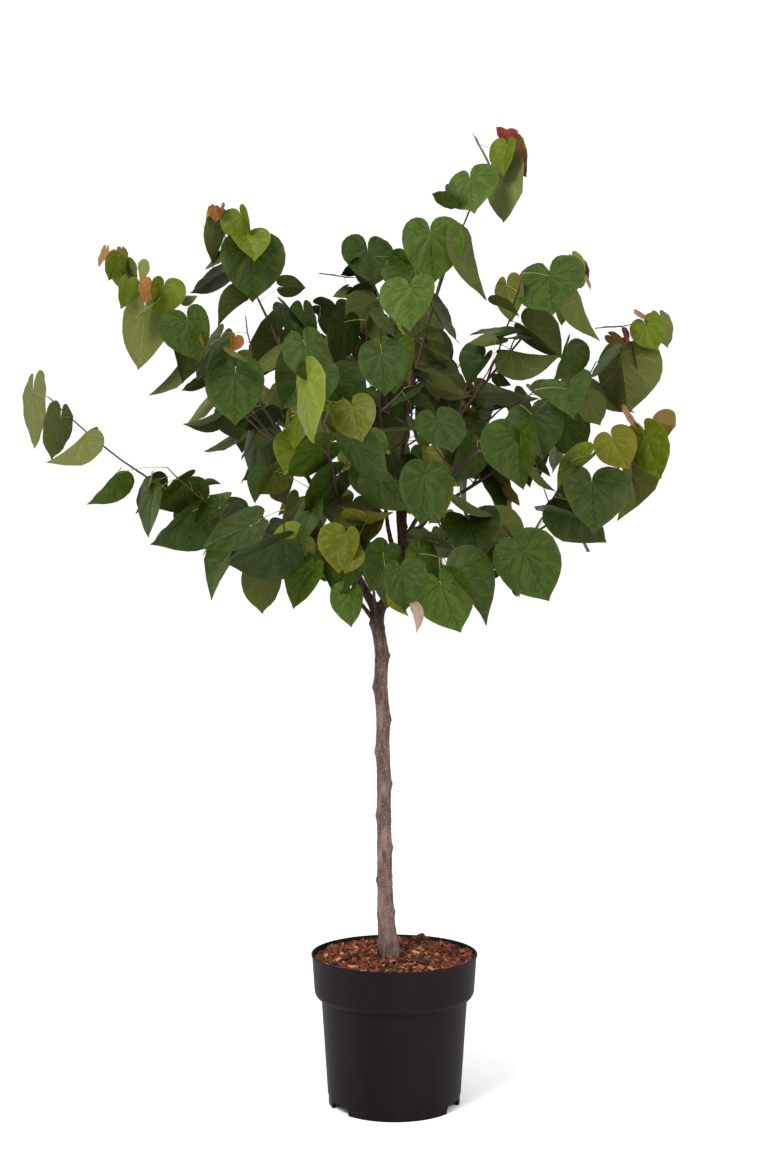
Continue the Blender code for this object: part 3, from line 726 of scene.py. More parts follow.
def smooth_path(corners, step):
    """Points about one step apart on a curve through the given corners."""
    corners = [Vector(c) for c in corners]
    padded = [2.0 * corners[0] - corners[1]] + corners + [2.0 * corners[-1] - corners[-2]]
    path = [corners[0]]
    for index in range(1, len(padded) - 2):
        a, b, c, d = padded[index - 1:index + 3]
        count = max(1, round((c - b).length / step))
        for part in range(1, count + 1):
            t = part / count
            path.append(0.5 * (2.0 * b + (c - a) * t + (2.0 * a - 5.0 * b + 4.0 * c - d) * t * t
                               + (3.0 * b - a - 3.0 * c + d) * t ** 3))
    return path


print("limb tools ready")

# %% The boughs
# name and parent, share of the parent's length where it leaves, points, foot and end radius
Bough = namedtuple("Bough", "name parent share points foot end")
BOUGH_ROWS = (
    ("left", "trunk", 0.97, ((-0.063, 0.000, 0.887), (-0.087, 0.005, 0.949), (-0.116, 0.015, 1.051),
     (-0.140, 0.024, 1.127), (-0.160, 0.030, 1.185)), 0.0076, 0.0032),
    ("right", "trunk", 0.97, ((0.004, 0.000, 0.882), (0.015, 0.000, 0.932), (0.016, 0.000, 0.988),
     (0.040, 0.004, 1.064), (0.070, 0.008, 1.104)), 0.0080, 0.0034),
    ("far_left", "left", 0.14, ((-0.121, -0.018, 0.931), (-0.165, -0.025, 0.942)), 0.0046, 0.0029),
    ("low_left", "trunk", 0.94, ((-0.080, -0.030, 0.868), (-0.110, -0.055, 0.884)), 0.0040, 0.0027),
    ("upper_left", "left", 0.38, ((-0.120, -0.045, 1.002), (-0.145, -0.065, 1.050)), 0.0048, 0.0030),
    ("mid_left", "left", 0.68, ((-0.155, -0.020, 1.069), (-0.180, -0.030, 1.096)), 0.0040, 0.0027),
    ("front", "left", 0.16, ((-0.081, -0.060, 0.937), (-0.085, -0.095, 0.968)), 0.0044, 0.0028),
    ("centre", "right", 0.26, ((-0.011, -0.020, 0.968), (-0.017, -0.040, 1.026)), 0.0048, 0.0030),
    ("inner", "left", 0.24, ((-0.048, -0.040, 0.944), (-0.038, -0.075, 0.960)), 0.0038, 0.0026),
    ("top", "right", 0.50, ((0.008, 0.004, 1.040), (0.016, 0.004, 1.115)), 0.0054, 0.0033),
    ("top_left", "left", 0.50, ((-0.078, 0.050, 1.087), (-0.066, 0.070, 1.144)), 0.0046, 0.0030),
    ("upper_right", "right", 0.38, ((0.064, 0.024, 0.992), (0.122, 0.045, 1.032)), 0.0050, 0.0031),
    ("mid_right", "right", 0.12, ((0.060, -0.010, 0.892), (0.123, -0.018, 0.912)), 0.0048, 0.0029),
    ("low_right", "right", 0.05, ((0.026, -0.050, 0.863), (0.052, -0.085, 0.872)), 0.0042, 0.0027),
    ("front_right", "right", 0.42, ((0.048, -0.050, 1.000), (0.072, -0.085, 1.026)), 0.0044, 0.0029),
    ("front_low", "trunk", 0.91, ((-0.034, -0.045, 0.850), (-0.034, -0.085, 0.862)), 0.0038, 0.0026),
    ("back", "right", 0.34, ((0.006, 0.070, 1.018), (0.014, 0.120, 1.072)), 0.0046, 0.0030),
    ("back_left", "left", 0.30, ((-0.110, 0.060, 0.984), (-0.135, 0.100, 1.030)), 0.0044, 0.0029),
    ("back_right", "right", 0.62, ((0.070, 0.070, 1.069), (0.100, 0.110, 1.099)), 0.0044, 0.0029),
    ("low_back_left", "left", 0.07, ((-0.092, 0.055, 0.893), (-0.122, 0.100, 0.912)), 0.0042, 0.0028),
    ("low_back_right", "right", 0.20, ((0.054, 0.055, 0.929), (0.082, 0.100, 0.944)), 0.0042, 0.0028),
)
BOUGHS = [Bough("bough_" + name, parent if parent == "trunk" else "bough_" + parent, *rest)
          for name, parent, *rest in BOUGH_ROWS]
print("boughs:", len(BOUGHS))


# %% Lay out every limb
def bough_limb(row, limbs):
    start, _ = limbs[row.parent].at(row.share)
    path = smooth_path([start] + list(row.points), BOUGH_STEP)
    count = len(path) - 1
    radii = [row.foot + (row.end - row.foot) * index / count for index in range(count + 1)]
    return Limb(row.name, path, radii, BOUGH_SIDES)


stem_heights = trunk_heights()
limbs = {"trunk": Limb("trunk", [trunk_centre(height) for height in stem_heights],
                       [trunk_radius(height) for height in stem_heights], TRUNK_SIDES)}
for row in BOUGHS:
    limbs[row.name] = bough_limb(row, limbs)
print("limbs:", len(limbs), "wood in metres:", round(sum(l.length() for l in limbs.values()), 2))


# %% A straight unit tube, and how it is bent along a path
def unit_tube(rings, sides):
    """A closed tube of unit radius with its rings one unit apart on Z."""
    bm = bmesh.new()
    ring = bmesh.ops.create_circle(bm, segments=sides, radius=1.0, cap_ends=True)["verts"]
    edges = [edge for edge in bm.edges if edge.verts[0] in ring]
    for _ in range(rings - 1):
        grown = bmesh.ops.extrude_edge_only(bm, edges=edges)["geom"]
        verts = [part for part in grown if isinstance(part, bmesh.types.BMVert)]
        edges = [part for part in grown if isinstance(part, bmesh.types.BMEdge)]
        bmesh.ops.translate(bm, verts=verts, vec=(0.0, 0.0, 1.0))
        edges = [edge for edge in edges if edge.is_boundary]
    bmesh.ops.holes_fill(bm, edges=edges)
    return shape_of(bm)


unit_tubes = {}


def bent_tube(path, radii, sides):
    """The unit tube's shape, and its points carried along a path."""
    key = (len(path), sides)
    if key not in unit_tubes:
        unit_tubes[key] = unit_tube(*key)
    shape = unit_tubes[key]
    frames = frames_along(path)
    centres = np.array([point[:] for point, _, _, _ in frames])
    sides_x = np.array([side[:] for _, _, side, _ in frames])
    sides_y = np.array([other[:] for _, _, _, other in frames])
    ring = np.rint(shape.points[:, 2]).astype(int)
    radius = np.array(radii)[ring]
    across = sides_x[ring] * (shape.points[:, 0] * radius)[:, None]
    along = sides_y[ring] * (shape.points[:, 1] * radius)[:, None]
    return shape, centres[ring] + across + along


print("unit tube faces:", len(unit_tube(4, 6).faces))

# %% Fuse the limbs and press the bark into them
SKIN_VOXEL = 0.00145
SKIN_STEP = 0.005
SKIN_SIDES = 18
SKIN_SMOOTHINGS = 3
# how much thicker a bough is where it leaves its parent, and over what length that fades
COLLAR_SWELLING = 0.55
COLLAR_FADE = 0.014
BARK_WRINKLE = 0.00042
SCAR_HEIGHT = 0.0021
SCAR_RADIUS = 0.0052


def fine_limb(limb):
    """The limb's path and radii in short steps, with a collar where it leaves its parent."""
    length = limb.length()
    count = max(6, round(length / SKIN_STEP))
    path = []
    radii = []
    for index in range(count + 1):
        point, radius = limb.at(index / count)
        if limb.name == "trunk":
            point = trunk_centre(point.z)
            radius = trunk_radius(point.z)
        else:
            radius *= 1.0 + COLLAR_SWELLING * math.exp(-index * length / count / COLLAR_FADE)
        path.append(point)
        radii.append(radius)
    return path, radii


def scars():
    """Where each bud scar sits on the stem, and which way it looks."""
    found = []
    count = int((FORK.z - 0.02 - FIRST_BUD) / BUD_SPACING) + 1
    for index in range(count):
        height = FIRST_BUD + BUD_SPACING * index
        out = Vector((1.0 if index % 2 else -1.0, -0.25 if index % 3 else 0.2, 0.0)).normalized()
        found.append((trunk_centre(height) + out * trunk_radius(height), out))
    return found


def relief(point, normal, buds):
    """How far the bark stands out at a point."""
    x, y, z = point
    along = noise.noise(Vector((x * 420.0, y * 420.0, z * 60.0)))
    rings = noise.noise(Vector((x * 90.0, y * 90.0, z * 900.0)))
    knobs = noise.noise(Vector((x, y, z)) * 160.0)
    height = BARK_WRINKLE * (along + 0.35 * rings + 0.9 * knobs)
    for place, out in buds:
        away = (point - place).length
        if away < 3.0 * SCAR_RADIUS:
            height += SCAR_HEIGHT * math.exp(-(away / SCAR_RADIUS) ** 2) * max(normal.dot(out), 0.2)
    return height


def bark_skin():
    pile = Pile()
    for limb in limbs.values():
        path, radii = fine_limb(limb)
        pile.add(*bent_tube(path, radii, SKIN_SIDES))
    mesh = pile.mesh("limbs")
    thing = bpy.data.objects.new("limbs", mesh)
    bpy.context.scene.collection.objects.link(thing)
    skin = thing.modifiers.new("skin", "REMESH")
    skin.mode = "VOXEL"
    skin.voxel_size = SKIN_VOXEL
    bpy.context.view_layer.update()
    mesh = bpy.data.meshes.new_from_object(
        thing.evaluated_get(bpy.context.evaluated_depsgraph_get()))
    bpy.data.objects.remove(thing, do_unlink=True)
    bm = bmesh.new()
    bm.from_mesh(mesh)
    for _ in range(SKIN_SMOOTHINGS):
        bmesh.ops.smooth_vert(bm, verts=bm.verts, factor=0.5,
                              use_axis_x=True, use_axis_y=True, use_axis_z=True)
    bm.normal_update()
    buds = scars()
    moves = [vert.normal * relief(vert.co, vert.normal, buds) for vert in bm.verts]
    for vert, move in zip(bm.verts, moves):
        vert.co += move
    mesh = mesh_from(bm, "limbs")
    mesh.shade_smooth()
    return mesh


YOUNG_BARK = (0.770, 0.820)


def bark_look():
    """Grey-brown bark with pale flecks and dark pores, darker and redder up from the fork."""
    look = Look("redbud_bark", paint(100, 82, 74), 0.82, 0.15)
    height = look.node("ShaderNodeSeparateXYZ", None, {0: look.place()}, output=2)
    young = look.node("ShaderNodeMapRange", None,
                      {"Value": height, "From Min": YOUNG_BARK[0], "From Max": YOUNG_BARK[1]})
    streaks = look.ramp(look.noise(230.0, 4.0, (1.0, 1.0, 0.16)), 0.38, 0.62)
    patches = look.ramp(look.noise(34.0, 4.0, (1.0, 1.0, 0.5)), 0.42, 0.58)
    pale = look.ramp(look.noise(52.0, 3.0, (1.0, 1.0, 0.35)), 0.50, 0.62)
    pores = look.ramp(look.noise(620.0, 2.0, (1.0, 1.0, 0.8)), 0.60, 0.70)
    flecks = look.ramp(look.noise(330.0, 3.0, (1.0, 1.0, 1.6)), 0.58, 0.68)
    grey = look.mix(streaks, paint(60, 43, 39), paint(112, 91, 85))
    grey = look.mix(0.65 * patches, grey, paint(84, 60, 54))
    grey = look.mix(0.38 * pale, grey, paint(132, 113, 106))
    grey = look.mix(0.7 * flecks, grey, paint(152, 137, 129))
    dark = look.mix(streaks, paint(30, 18, 16), paint(66, 44, 39))
    tone = look.mix(young, grey, dark)
    look.feed("Base Color", look.mix(0.7 * pores, tone, paint(48, 32, 28)))
    look.feed("Roughness", 0.74 + 0.16 * streaks)
    look.feed("Normal", look.bump(0.7 * streaks + flecks - 0.8 * pores, 0.00035))
    return look


finished("stem_and_boughs", bark_skin(), [bark_look()], list(limbs))

# %% [markdown]
# ## The rule by which the crown grows
# Each mass of leaves is one shoot: a stem that carries on from its bough, side twigs to the
# left and right by turns, and leaves by turns along both. A seed settles every choice, and a
# leaf is set down only where there is room for it. The rule is the one that made the solids,
# written here again, so that each leaf below lies where its solid does.

# %% The sizes of twigs and leaves
TWIG_SIDES = 3
TWIG_STEP = 0.055
TWIG_TIP_RADIUS = 0.0016
TWIG_END = 0.002
TWIG_BARE = 0.25
TWIG_SPACING = 0.125
TWIG_REACH = (0.42, 0.62)
TWIG_LIFT = 0.18
TWIG_THICKNESS = 0.72
LEAF_OUTLINE = ((0.28, -0.17), (0.61, 0.16), (0.40, 0.62))
LEAF_HEART = 0.40
LEAF_FOLD = math.radians(14.0)
LEAF_THICKNESS = 1.0 / 50.0
STALK_SHARE = 0.50
STALK_RADIUS = 0.0009
STALK_ROOT = 0.0005
STALK_LIFT = (-0.2, 0.5)
STALK_LEAN = (0.2, 0.9)
STALK_LENGTHS = (0.75, 1.2)
LEAF_SPACING = 0.50
LEAF_SPACINGS = (0.85, 1.15)
LEAF_SIZES = (0.86, 1.12)
LEAF_TRIES = 20
TO_LIGHT = (0.4, 1.5)
LEAF_DROOP = (45.0, 88.0)
LEAF_SWAY = 0.45
OUTWARD = 0.6
MOST_SIDEWAYS = 0.8
LEAST_BEHIND = 0.15
LEAST_UNDER = 0.30
OWN_SPACE = 0.8
BACK_BEGINS = 0.14
FULL_SIZE_UP_TO = 0.70
ELBOW_ROOM = 0.002

# name, tip of its stem, share of the stem that is bare, side twigs, leaf length at the foot
# and at the tip, seed
Mass = namedtuple("Mass", "name bough tip bare twigs leaf young seed")
MASS_ROWS = (
    ("left", (-0.307, 0.040, 1.495), 0.28, 2, 0.094, 0.056, 199),
    ("far_left", (-0.575, -0.030, 1.182), 0.05, 2, 0.078, 0.084, 297),
    ("low_left", (-0.325, -0.210, 0.925), 0.08, 4, 0.080, 0.064, 335),
    ("upper_left", (-0.471, -0.120, 1.398), 0.08, 4, 0.086, 0.036, 465),
    ("mid_left", (-0.330, -0.060, 1.231), 0.08, 4, 0.084, 0.054, 519),
    ("front", (-0.125, -0.320, 1.184), 0.08, 4, 0.078, 0.060, 702),
    ("centre", (-0.020, -0.190, 1.307), 0.08, 4, 0.082, 0.058, 792),
    ("inner", (0.030, -0.230, 1.030), 0.08, 2, 0.074, 0.056, 900),
    ("top", (0.188, -0.030, 1.620), 0.12, 3, 0.092, 0.044, 915),
    ("top_left", (-0.045, 0.110, 1.443), 0.08, 4, 0.086, 0.064, 1067),
    ("right", (0.324, 0.000, 1.412), 0.10, 4, 0.092, 0.084, 1144),
    ("upper_right", (0.455, 0.080, 1.310), 0.08, 4, 0.090, 0.056, 1207),
    ("mid_right", (0.435, -0.060, 1.140), 0.08, 4, 0.090, 0.052, 1365),
    ("low_right", (0.236, -0.260, 0.923), 0.08, 4, 0.084, 0.068, 1491),
    ("front_right", (0.210, -0.290, 1.166), 0.08, 4, 0.080, 0.058, 1558),
    ("front_low", (0.010, -0.340, 0.900), 0.08, 3, 0.076, 0.064, 1688),
    ("back", (0.042, 0.410, 1.316), 0.08, 4, 0.088, 0.060, 1772),
    ("back_left", (-0.268, 0.390, 1.245), 0.08, 4, 0.088, 0.060, 1853),
    ("back_right", (0.259, 0.380, 1.245), 0.08, 4, 0.088, 0.060, 1997),
    ("low_back_left", (-0.277, 0.380, 0.981), 0.08, 4, 0.088, 0.066, 2030),
    ("low_back_right", (0.258, 0.380, 0.986), 0.08, 4, 0.088, 0.066, 2201),
)
MASSES = [Mass("leaves_" + name, "bough_" + name, *rest) for name, *rest in MASS_ROWS]
print("masses:", len(MASSES))


# %% Keeping room
def tree_of(points):
    """A search tree that finds the nearest of some points."""
    tree = KDTree(len(points))
    for index, point in enumerate(points):
        tree.insert(point, index)
    tree.balance()
    return tree


class Space:
    """What is already there: each solid's owner and search tree, inside a ball round it."""

    def __init__(self):
        self.taken = []

    def add(self, points, faces, owner=None):
        middle = sum(points, Vector()) / len(points)
        reach = max((point - middle).length for point in points)
        self.taken.append((owner, middle, reach, BVHTree.FromPolygons(points, faces)))

    def is_free(self, points, faces, carrier):
        """Whether a solid meets nothing but the limb that carries it."""
        middle = sum(points, Vector()) / len(points)
        reach = max((point - middle).length for point in points)
        tree = BVHTree.FromPolygons(points, faces)
        for owner, other_middle, other_reach, other in self.taken:
            if owner is carrier or (other_middle - middle).length > reach + other_reach:
                continue
            if tree.overlap(other):
                return False
        return True


def distance_to(path, point):
    """How far a point lies from a path."""
    nearest = math.inf
    for a, b in zip(path, path[1:]):
        foot, share = intersect_point_line(point, a, b)
        foot = a if share < 0.0 else b if share > 1.0 else foot
        nearest = min(nearest, (point - foot).length)
    return nearest


def leaf_solid(root, notch, axis, normal, length, room=0.0):
    """The space one leaf takes: a folded heart and its stalk."""
    side = axis.cross(normal).normalized()
    rise = math.sin(LEAF_FOLD) * length
    spread = math.cos(LEAF_FOLD) * length
    grown = 1.0 + room / length * 2.0

    def on_blade(across, along):
        out = side * (across * spread) + axis * (along * length) + normal * (abs(across) * rise)
        return notch + out * grown

    stalk = (notch - root).normalized()
    cross = (side - stalk * side.dot(stalk)).normalized()
    above = cross.cross(stalk).normalized()
    foot = STALK_ROOT + room
    half = STALK_RADIUS + room
    thick = LEAF_THICKNESS * length / 2.0 + room
    points = [root + cross * foot + above * 0.5 * foot,
              root - cross * foot + above * 0.5 * foot,
              root - above * foot,
              notch + cross * half + normal * 0.3 * half,
              notch - cross * half + normal * 0.3 * half,
              notch - above * half - normal * 0.6 * half]
    points += [on_blade(across, along) for across, along in LEAF_OUTLINE]
    points.append(on_blade(0.0, 1.0))
    points += [on_blade(-across, along) for across, along in reversed(LEAF_OUTLINE)]
    heart = on_blade(0.0, LEAF_HEART)
    points += [heart + normal * thick, heart - normal * thick]
    top, bottom = len(points) - 2, len(points) - 1
    rim = list(range(6, len(points) - 2))
    faces = [(0, 1, 2), (0, 3, 4, 1), (1, 4, 5, 2), (2, 5, 3, 0), (top, 4, 3)]
    faces += [(top, a, b) for a, b in zip([3] + rim, rim + [4])]
    faces += [(bottom, b, a) for a, b in zip([5] + rim, rim + [5])]
    faces += [(3, 5, rim[0]), (5, 4, rim[-1])]
    return points, faces


print("room keeping ready")


# %% How a leaf hangs, and how twigs leave a stem
def leaf_pose(point, tangent, hand, length, dice, droops=LEAF_DROOP):
    """Where one leaf's notch lies and how its blade hangs from a twig at a point."""
    across = tangent.cross(UP)
    if across.length < 0.2:
        across = tangent.cross(FRONT)
    across = across.normalized() * hand
    lift = dice.uniform(*STALK_LIFT)
    stalk = (across + tangent * dice.uniform(*STALK_LEAN) + UP * lift).normalized()
    notch = point + stalk * (length * STALK_SHARE * dice.uniform(*STALK_LENGTHS))
    outward = Vector((point.x - FORK.x, point.y - FORK.y, 0.0))
    outward = outward.normalized() if outward.length > 1e-6 else FRONT
    to_light = dice.uniform(*TO_LIGHT) if point.y < BACK_BEGINS else 0.0
    facing = stalk + OUTWARD * outward + FRONT * to_light
    facing += Vector((dice.uniform(-0.5, 0.5), dice.uniform(-0.5, 0.5), 0.0))
    facing.z = 0.0
    facing.normalize()
    droop = math.radians(dice.uniform(*droops))
    axis = facing * math.cos(droop) - UP * math.sin(droop)
    normal = facing * math.sin(droop) + UP * math.cos(droop)
    sway = dice.uniform(-LEAF_SWAY, LEAF_SWAY)
    axis = (axis + axis.cross(normal) * sway).normalized()
    return notch, axis, normal


def stalk_clears_blade(stalk, axis, normal):
    """A stalk reaches the notch from behind the blade or from under it, not from its side."""
    stalk = stalk.normalized()
    sideways = abs(stalk.dot(axis.cross(normal)))
    from_behind = stalk.dot(axis) > LEAST_BEHIND or stalk.dot(normal) > LEAST_UNDER
    return sideways < MOST_SIDEWAYS and from_behind


def curved(start, heading, tip, step):
    """A path that leaves in one heading and bends over to its tip."""
    start, tip = Vector(start), Vector(tip)
    length = (tip - start).length
    elbow = start + heading * (0.5 * length)
    count = max(2, round(length / step))
    path = []
    for index in range(count + 1):
        t = index / count
        path.append(start * (1 - t) ** 2 + elbow * (2 * t * (1 - t)) + tip * t * t)
    return path


def tapered(path, foot, end):
    count = len(path) - 1
    return [foot + (end - foot) * index / count for index in range(count + 1)]


def side_twigs(stem, row, dice):
    """Twigs that leave a mass's stem by turns to the left and the right."""
    hand = dice.choice((-1.0, 1.0))
    twigs = []
    for index in range(row.twigs):
        share = TWIG_SPACING * (index + dice.uniform(0.2, 0.9))
        start, radius = stem.at(share)
        tangent = (stem.at(share + 0.05)[0] - start).normalized()
        across = tangent.cross(UP)
        across = across.normalized() * hand if across.length > 0.2 else FRONT * hand
        hand = -hand
        heading = (tangent * 0.55 + across * dice.uniform(0.6, 1.0)
                   + UP * dice.uniform(-0.1, 0.5)).normalized()
        reach = stem.length() * dice.uniform(*TWIG_REACH) * (1.10 - share)
        tip = start + (heading + UP * TWIG_LIFT) * reach
        path = curved(start, heading, tip, TWIG_STEP)
        radii = tapered(path, radius * TWIG_THICKNESS, TWIG_TIP_RADIUS)
        twigs.append(Limb("twig", path, radii, TWIG_SIDES))
    return twigs


def leaf_size(row, share):
    """Leaves are full size along the stem and smaller over its last third."""
    fade = max(share - FULL_SIZE_UP_TO, 0.0) / (1.0 - FULL_SIZE_UP_TO)
    return row.leaf + (row.young - row.leaf) * fade


print("growth rule ready")

# %% Grow the masses as the solids have them
Leaf = namedtuple("Leaf", "root notch axis normal length share row tone kind",
                  defaults=(None, None))


def middle_of(leaf):
    return leaf.notch + leaf.axis * (LEAF_HEART * leaf.length)


def leaves_along(twig, row, room, own, others, dice, bare):
    """The leaves of one twig, each set down only where there is room for it."""
    length = twig.length()
    made = []
    hand = dice.choice((-1.0, 1.0))
    along = bare * length
    while along < length - TWIG_END:
        share = along / length
        size = leaf_size(row, share) * dice.uniform(*LEAF_SIZES)
        point, _ = twig.at(share)
        tangent = (twig.at(share + 0.04)[0] - twig.at(share - 0.04)[0]).normalized()
        for _ in range(LEAF_TRIES):
            notch, axis, normal = leaf_pose(point, tangent, hand, size, dice)
            if not stalk_clears_blade(notch - point, axis, normal):
                continue
            middle = notch + axis * (LEAF_HEART * size)
            near = distance_to(own, middle) * OWN_SPACE
            if any(distance_to(path, middle) < near for path in others):
                continue
            if room.is_free(*leaf_solid(point, notch, axis, normal, size, ELBOW_ROOM), twig):
                room.add(*leaf_solid(point, notch, axis, normal, size))
                made.append(Leaf(point, notch, axis, normal, size, share, row))
                break
        hand = -hand
        along += size * LEAF_SPACING * dice.uniform(*LEAF_SPACINGS)
    return made


def mass_stem(row):
    """The stem that carries a mass on from its bough's end."""
    bough = limbs[row.bough]
    start = bough.path[-1] + bough.heading() * CLEARANCE
    path = curved(start, bough.heading(), row.tip, TWIG_STEP)
    return Limb(row.name, path, tapered(path, bough.radii[-1], TWIG_TIP_RADIUS), TWIG_SIDES)


def grow(row, room):
    """One mass: its side twigs, and its leaves, each kept clear of all that stands already."""
    dice = random.Random(row.seed)
    stem = stems[row.name]
    others = [other.path for name, other in stems.items() if name != row.name]
    twigs = []
    for twig in side_twigs(stem, row, dice):
        if room.is_free(*twig.solid(ELBOW_ROOM), stem):
            twigs.append(twig)
            room.add(*twig.solid(), twig)
    leaves = leaves_along(stem, row, room, stem.path, others, dice, row.bare)
    for twig in twigs:
        leaves += leaves_along(twig, row, room, stem.path, others, dice, TWIG_BARE)
    return twigs, leaves


room = Space()
for limb in limbs.values():
    room.add(*limb.solid(CLEARANCE), limb)
stems = {row.name: mass_stem(row) for row in MASSES}
for stem in stems.values():
    room.add(*stem.solid(), stem)
twigs_of = {}
leaves = []
for row in MASSES:
    twigs_of[row.name], grown = grow(row, room)
    leaves += grown
print("leaves as the solids have them:", len(leaves))


# %% Check that they lie where the solids do
def inside(box, point, spare=0.002):
    low, high = box
    return all(low[k] - spare <= point[k] <= high[k] + spare for k in range(3))


boxes = {row.name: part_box(row.name) for row in MASSES}
astray = [leaf for leaf in leaves
          if not inside(boxes[leaf.row.name], leaf.notch + leaf.axis * leaf.length)]
print("leaf tips outside their solid's box:", len(astray))

# %% [markdown]
# ## Finer twigs
# A real shoot also carries short spurs with small leaves deep in the crown. They come from
# the same rule with shorter sizes. A spur's leaf is kept only near a leaf of the solids, so
# the crown keeps its reach, and its middle is never in a window where the photo shows sky.

# %% Grow the spurs
SPUR_SPACING = 0.045
SPUR_LENGTH = (0.030, 0.085)
SPUR_NEAR = 0.075
SPUR_LEAVES = (0.038, 0.068)
SPUR_DROOP = (0.0, 80.0)
SPUR_UP_TO = 0.72
SPUR_STEP = 0.022
SPUR_RADII = (0.0013, 0.0007)
SPUR_TRIES = 9
NO_SPURS = ("leaves_far_left", "leaves_top")
# middle and half size, across and down in the photo's pixels, of the sky seen through the crown
SKY_WINDOWS = (
    (480, 275, 35, 80), (435, 210, 15, 10), (340, 265, 15, 10), (305, 290, 40, 25),
    (220, 245, 10, 10), (185, 275, 30, 15), (220, 300, 20, 15), (250, 325, 30, 30),
    (210, 335, 15, 10), (280, 380, 15, 15), (180, 400, 15, 20), (60, 410, 25, 15),
    (70, 440, 20, 25), (95, 470, 20, 25), (150, 455, 25, 15), (205, 465, 50, 25),
    (125, 495, 20, 15), (160, 555, 20, 40), (190, 560, 15, 15), (245, 505, 20, 15),
    (270, 520, 20, 20), (320, 600, 20, 15), (400, 530, 10, 15), (420, 410, 15, 5),
    (455, 410, 15, 5), (500, 410, 15, 10), (530, 380, 35, 20), (600, 320, 25, 30),
    (600, 370, 15, 15), (600, 430, 25, 25), (560, 480, 15, 10), (540, 500, 30, 20),
    (520, 520, 30, 20), (470, 510, 25, 15), (570, 545, 20, 15), (525, 595, 20, 5),
    (615, 525, 20, 15), (645, 505, 10, 10),
)


def in_open_sky(point):
    x, y = in_photo(point)
    return any(((x - mx) / hx) ** 2 + ((y - my) / hy) ** 2 < 1.0 for mx, my, hx, hy in SKY_WINDOWS)


def spur(host, share, hand, dice):
    start, radius = host.at(share)
    tangent = (host.at(share + 0.05)[0] - host.at(share - 0.05)[0]).normalized()
    across = tangent.cross(UP)
    across = across.normalized() if across.length > 0.2 else Vector((1.0, 0.0, 0.0))
    turn = dice.uniform(-1.2, 1.2)
    across = (across * math.cos(turn) + tangent.cross(across) * math.sin(turn)) * hand
    heading = (tangent * dice.uniform(0.2, 0.8) + across + UP * dice.uniform(-0.1, 0.4)).normalized()
    reach = dice.uniform(*SPUR_LENGTH)
    tip = start + (heading + UP * TWIG_LIFT) * reach
    path = curved(start, heading, tip, SPUR_STEP)
    thick, thin = SPUR_RADII
    return Limb("spur", path, tapered(path, min(thick, 0.7 * radius), thin), 5)


def spur_leaves(twig, row, dice, known):
    """Two or three small leaves on a spur, and one at its tip."""
    made = []
    hand = dice.choice((-1.0, 1.0))
    for share in (dice.uniform(0.35, 0.55), dice.uniform(0.7, 0.8), 1.0):
        size = dice.uniform(*SPUR_LEAVES)
        point, _ = twig.at(share)
        for _ in range(SPUR_TRIES):
            notch, axis, normal = leaf_pose(point, twig.heading(), hand, size, dice, SPUR_DROOP)
            middle = notch + axis * (LEAF_HEART * size)
            if not stalk_clears_blade(notch - point, axis, normal):
                continue
            if known.find(middle)[2] > SPUR_NEAR or in_open_sky(middle):
                continue
            if room.is_free(*leaf_solid(point, notch, axis, normal, size, ELBOW_ROOM), twig):
                room.add(*leaf_solid(point, notch, axis, normal, size))
                made.append(Leaf(point, notch, axis, normal, size, 0.5, row))
                break
        hand = -hand
    return made


def grow_spurs(row, known):
    dice = random.Random(row.seed + 7000)
    found = []
    grown = []
    for host in [stems[row.name]] + twigs_of[row.name]:
        count = int(host.length() / SPUR_SPACING)
        for index in range(count):
            share = (index + dice.uniform(0.3, 0.9)) / (count + 1)
            if share > SPUR_UP_TO:
                continue
            twig = spur(host, share, 1.0 if index % 2 else -1.0, dice)
            if not room.is_free(*twig.solid(0.001), host) or in_open_sky(twig.path[-1]):
                continue
            made = spur_leaves(twig, row, dice, known)
            if made:
                room.add(*twig.solid(), twig)
                found.append(twig)
                grown += made
    return found, grown


known = tree_of([middle_of(leaf) for leaf in leaves])
spurs_of = {}
for row in MASSES:
    spurs_of[row.name] = []
    if row.name not in NO_SPURS:
        spurs_of[row.name], grown = grow_spurs(row, known)
        leaves += grown
print("spurs:", sum(len(s) for s in spurs_of.values()), "leaves in all:", len(leaves))

# %% [markdown]
# ## One leaf
# A redbud's leaf is a rounded heart with a drawn-out tip and a deep narrow notch. Its veins
# fan out from the notch, so its mesh is a grid bent into a fan whose columns follow the main
# veins and whose rows follow the outline. The side veins are cut across it by planes. Then
# the blade is raised: it folds along its midrib, curls at its tip, and swells between its
# veins. The underside is a flipped copy that shares the rim, so the leaf is closed.

# %% The fan and its veins
# bearing from the tip in degrees, and reach from the notch of a plain and of a deep-lobed
# leaf, for the right half's outline
OUTLINE = ((0, 1.0, 1.0), (5, 0.922, 0.922), (12, 0.866, 0.866), (22, 0.818, 0.822),
           (35, 0.768, 0.780), (46, 0.734, 0.745), (60, 0.690, 0.698), (74, 0.640, 0.655),
           (90, 0.578, 0.618), (104, 0.505, 0.585), (118, 0.422, 0.530), (131, 0.340, 0.480),
           (143, 0.260, 0.445), (154, 0.185, 0.400), (165, 0.100, 0.320), (174, 0.040, 0.180))
ROWS = (0.0, 0.30, 0.62, 0.88, 0.972, 1.0)
MAIN_VEINS = (0, 35, 74)
MIDRIB_WIDTH = 0.0090
MAIN_WIDTH = 0.0065
FINE_WIDTH = 0.0085
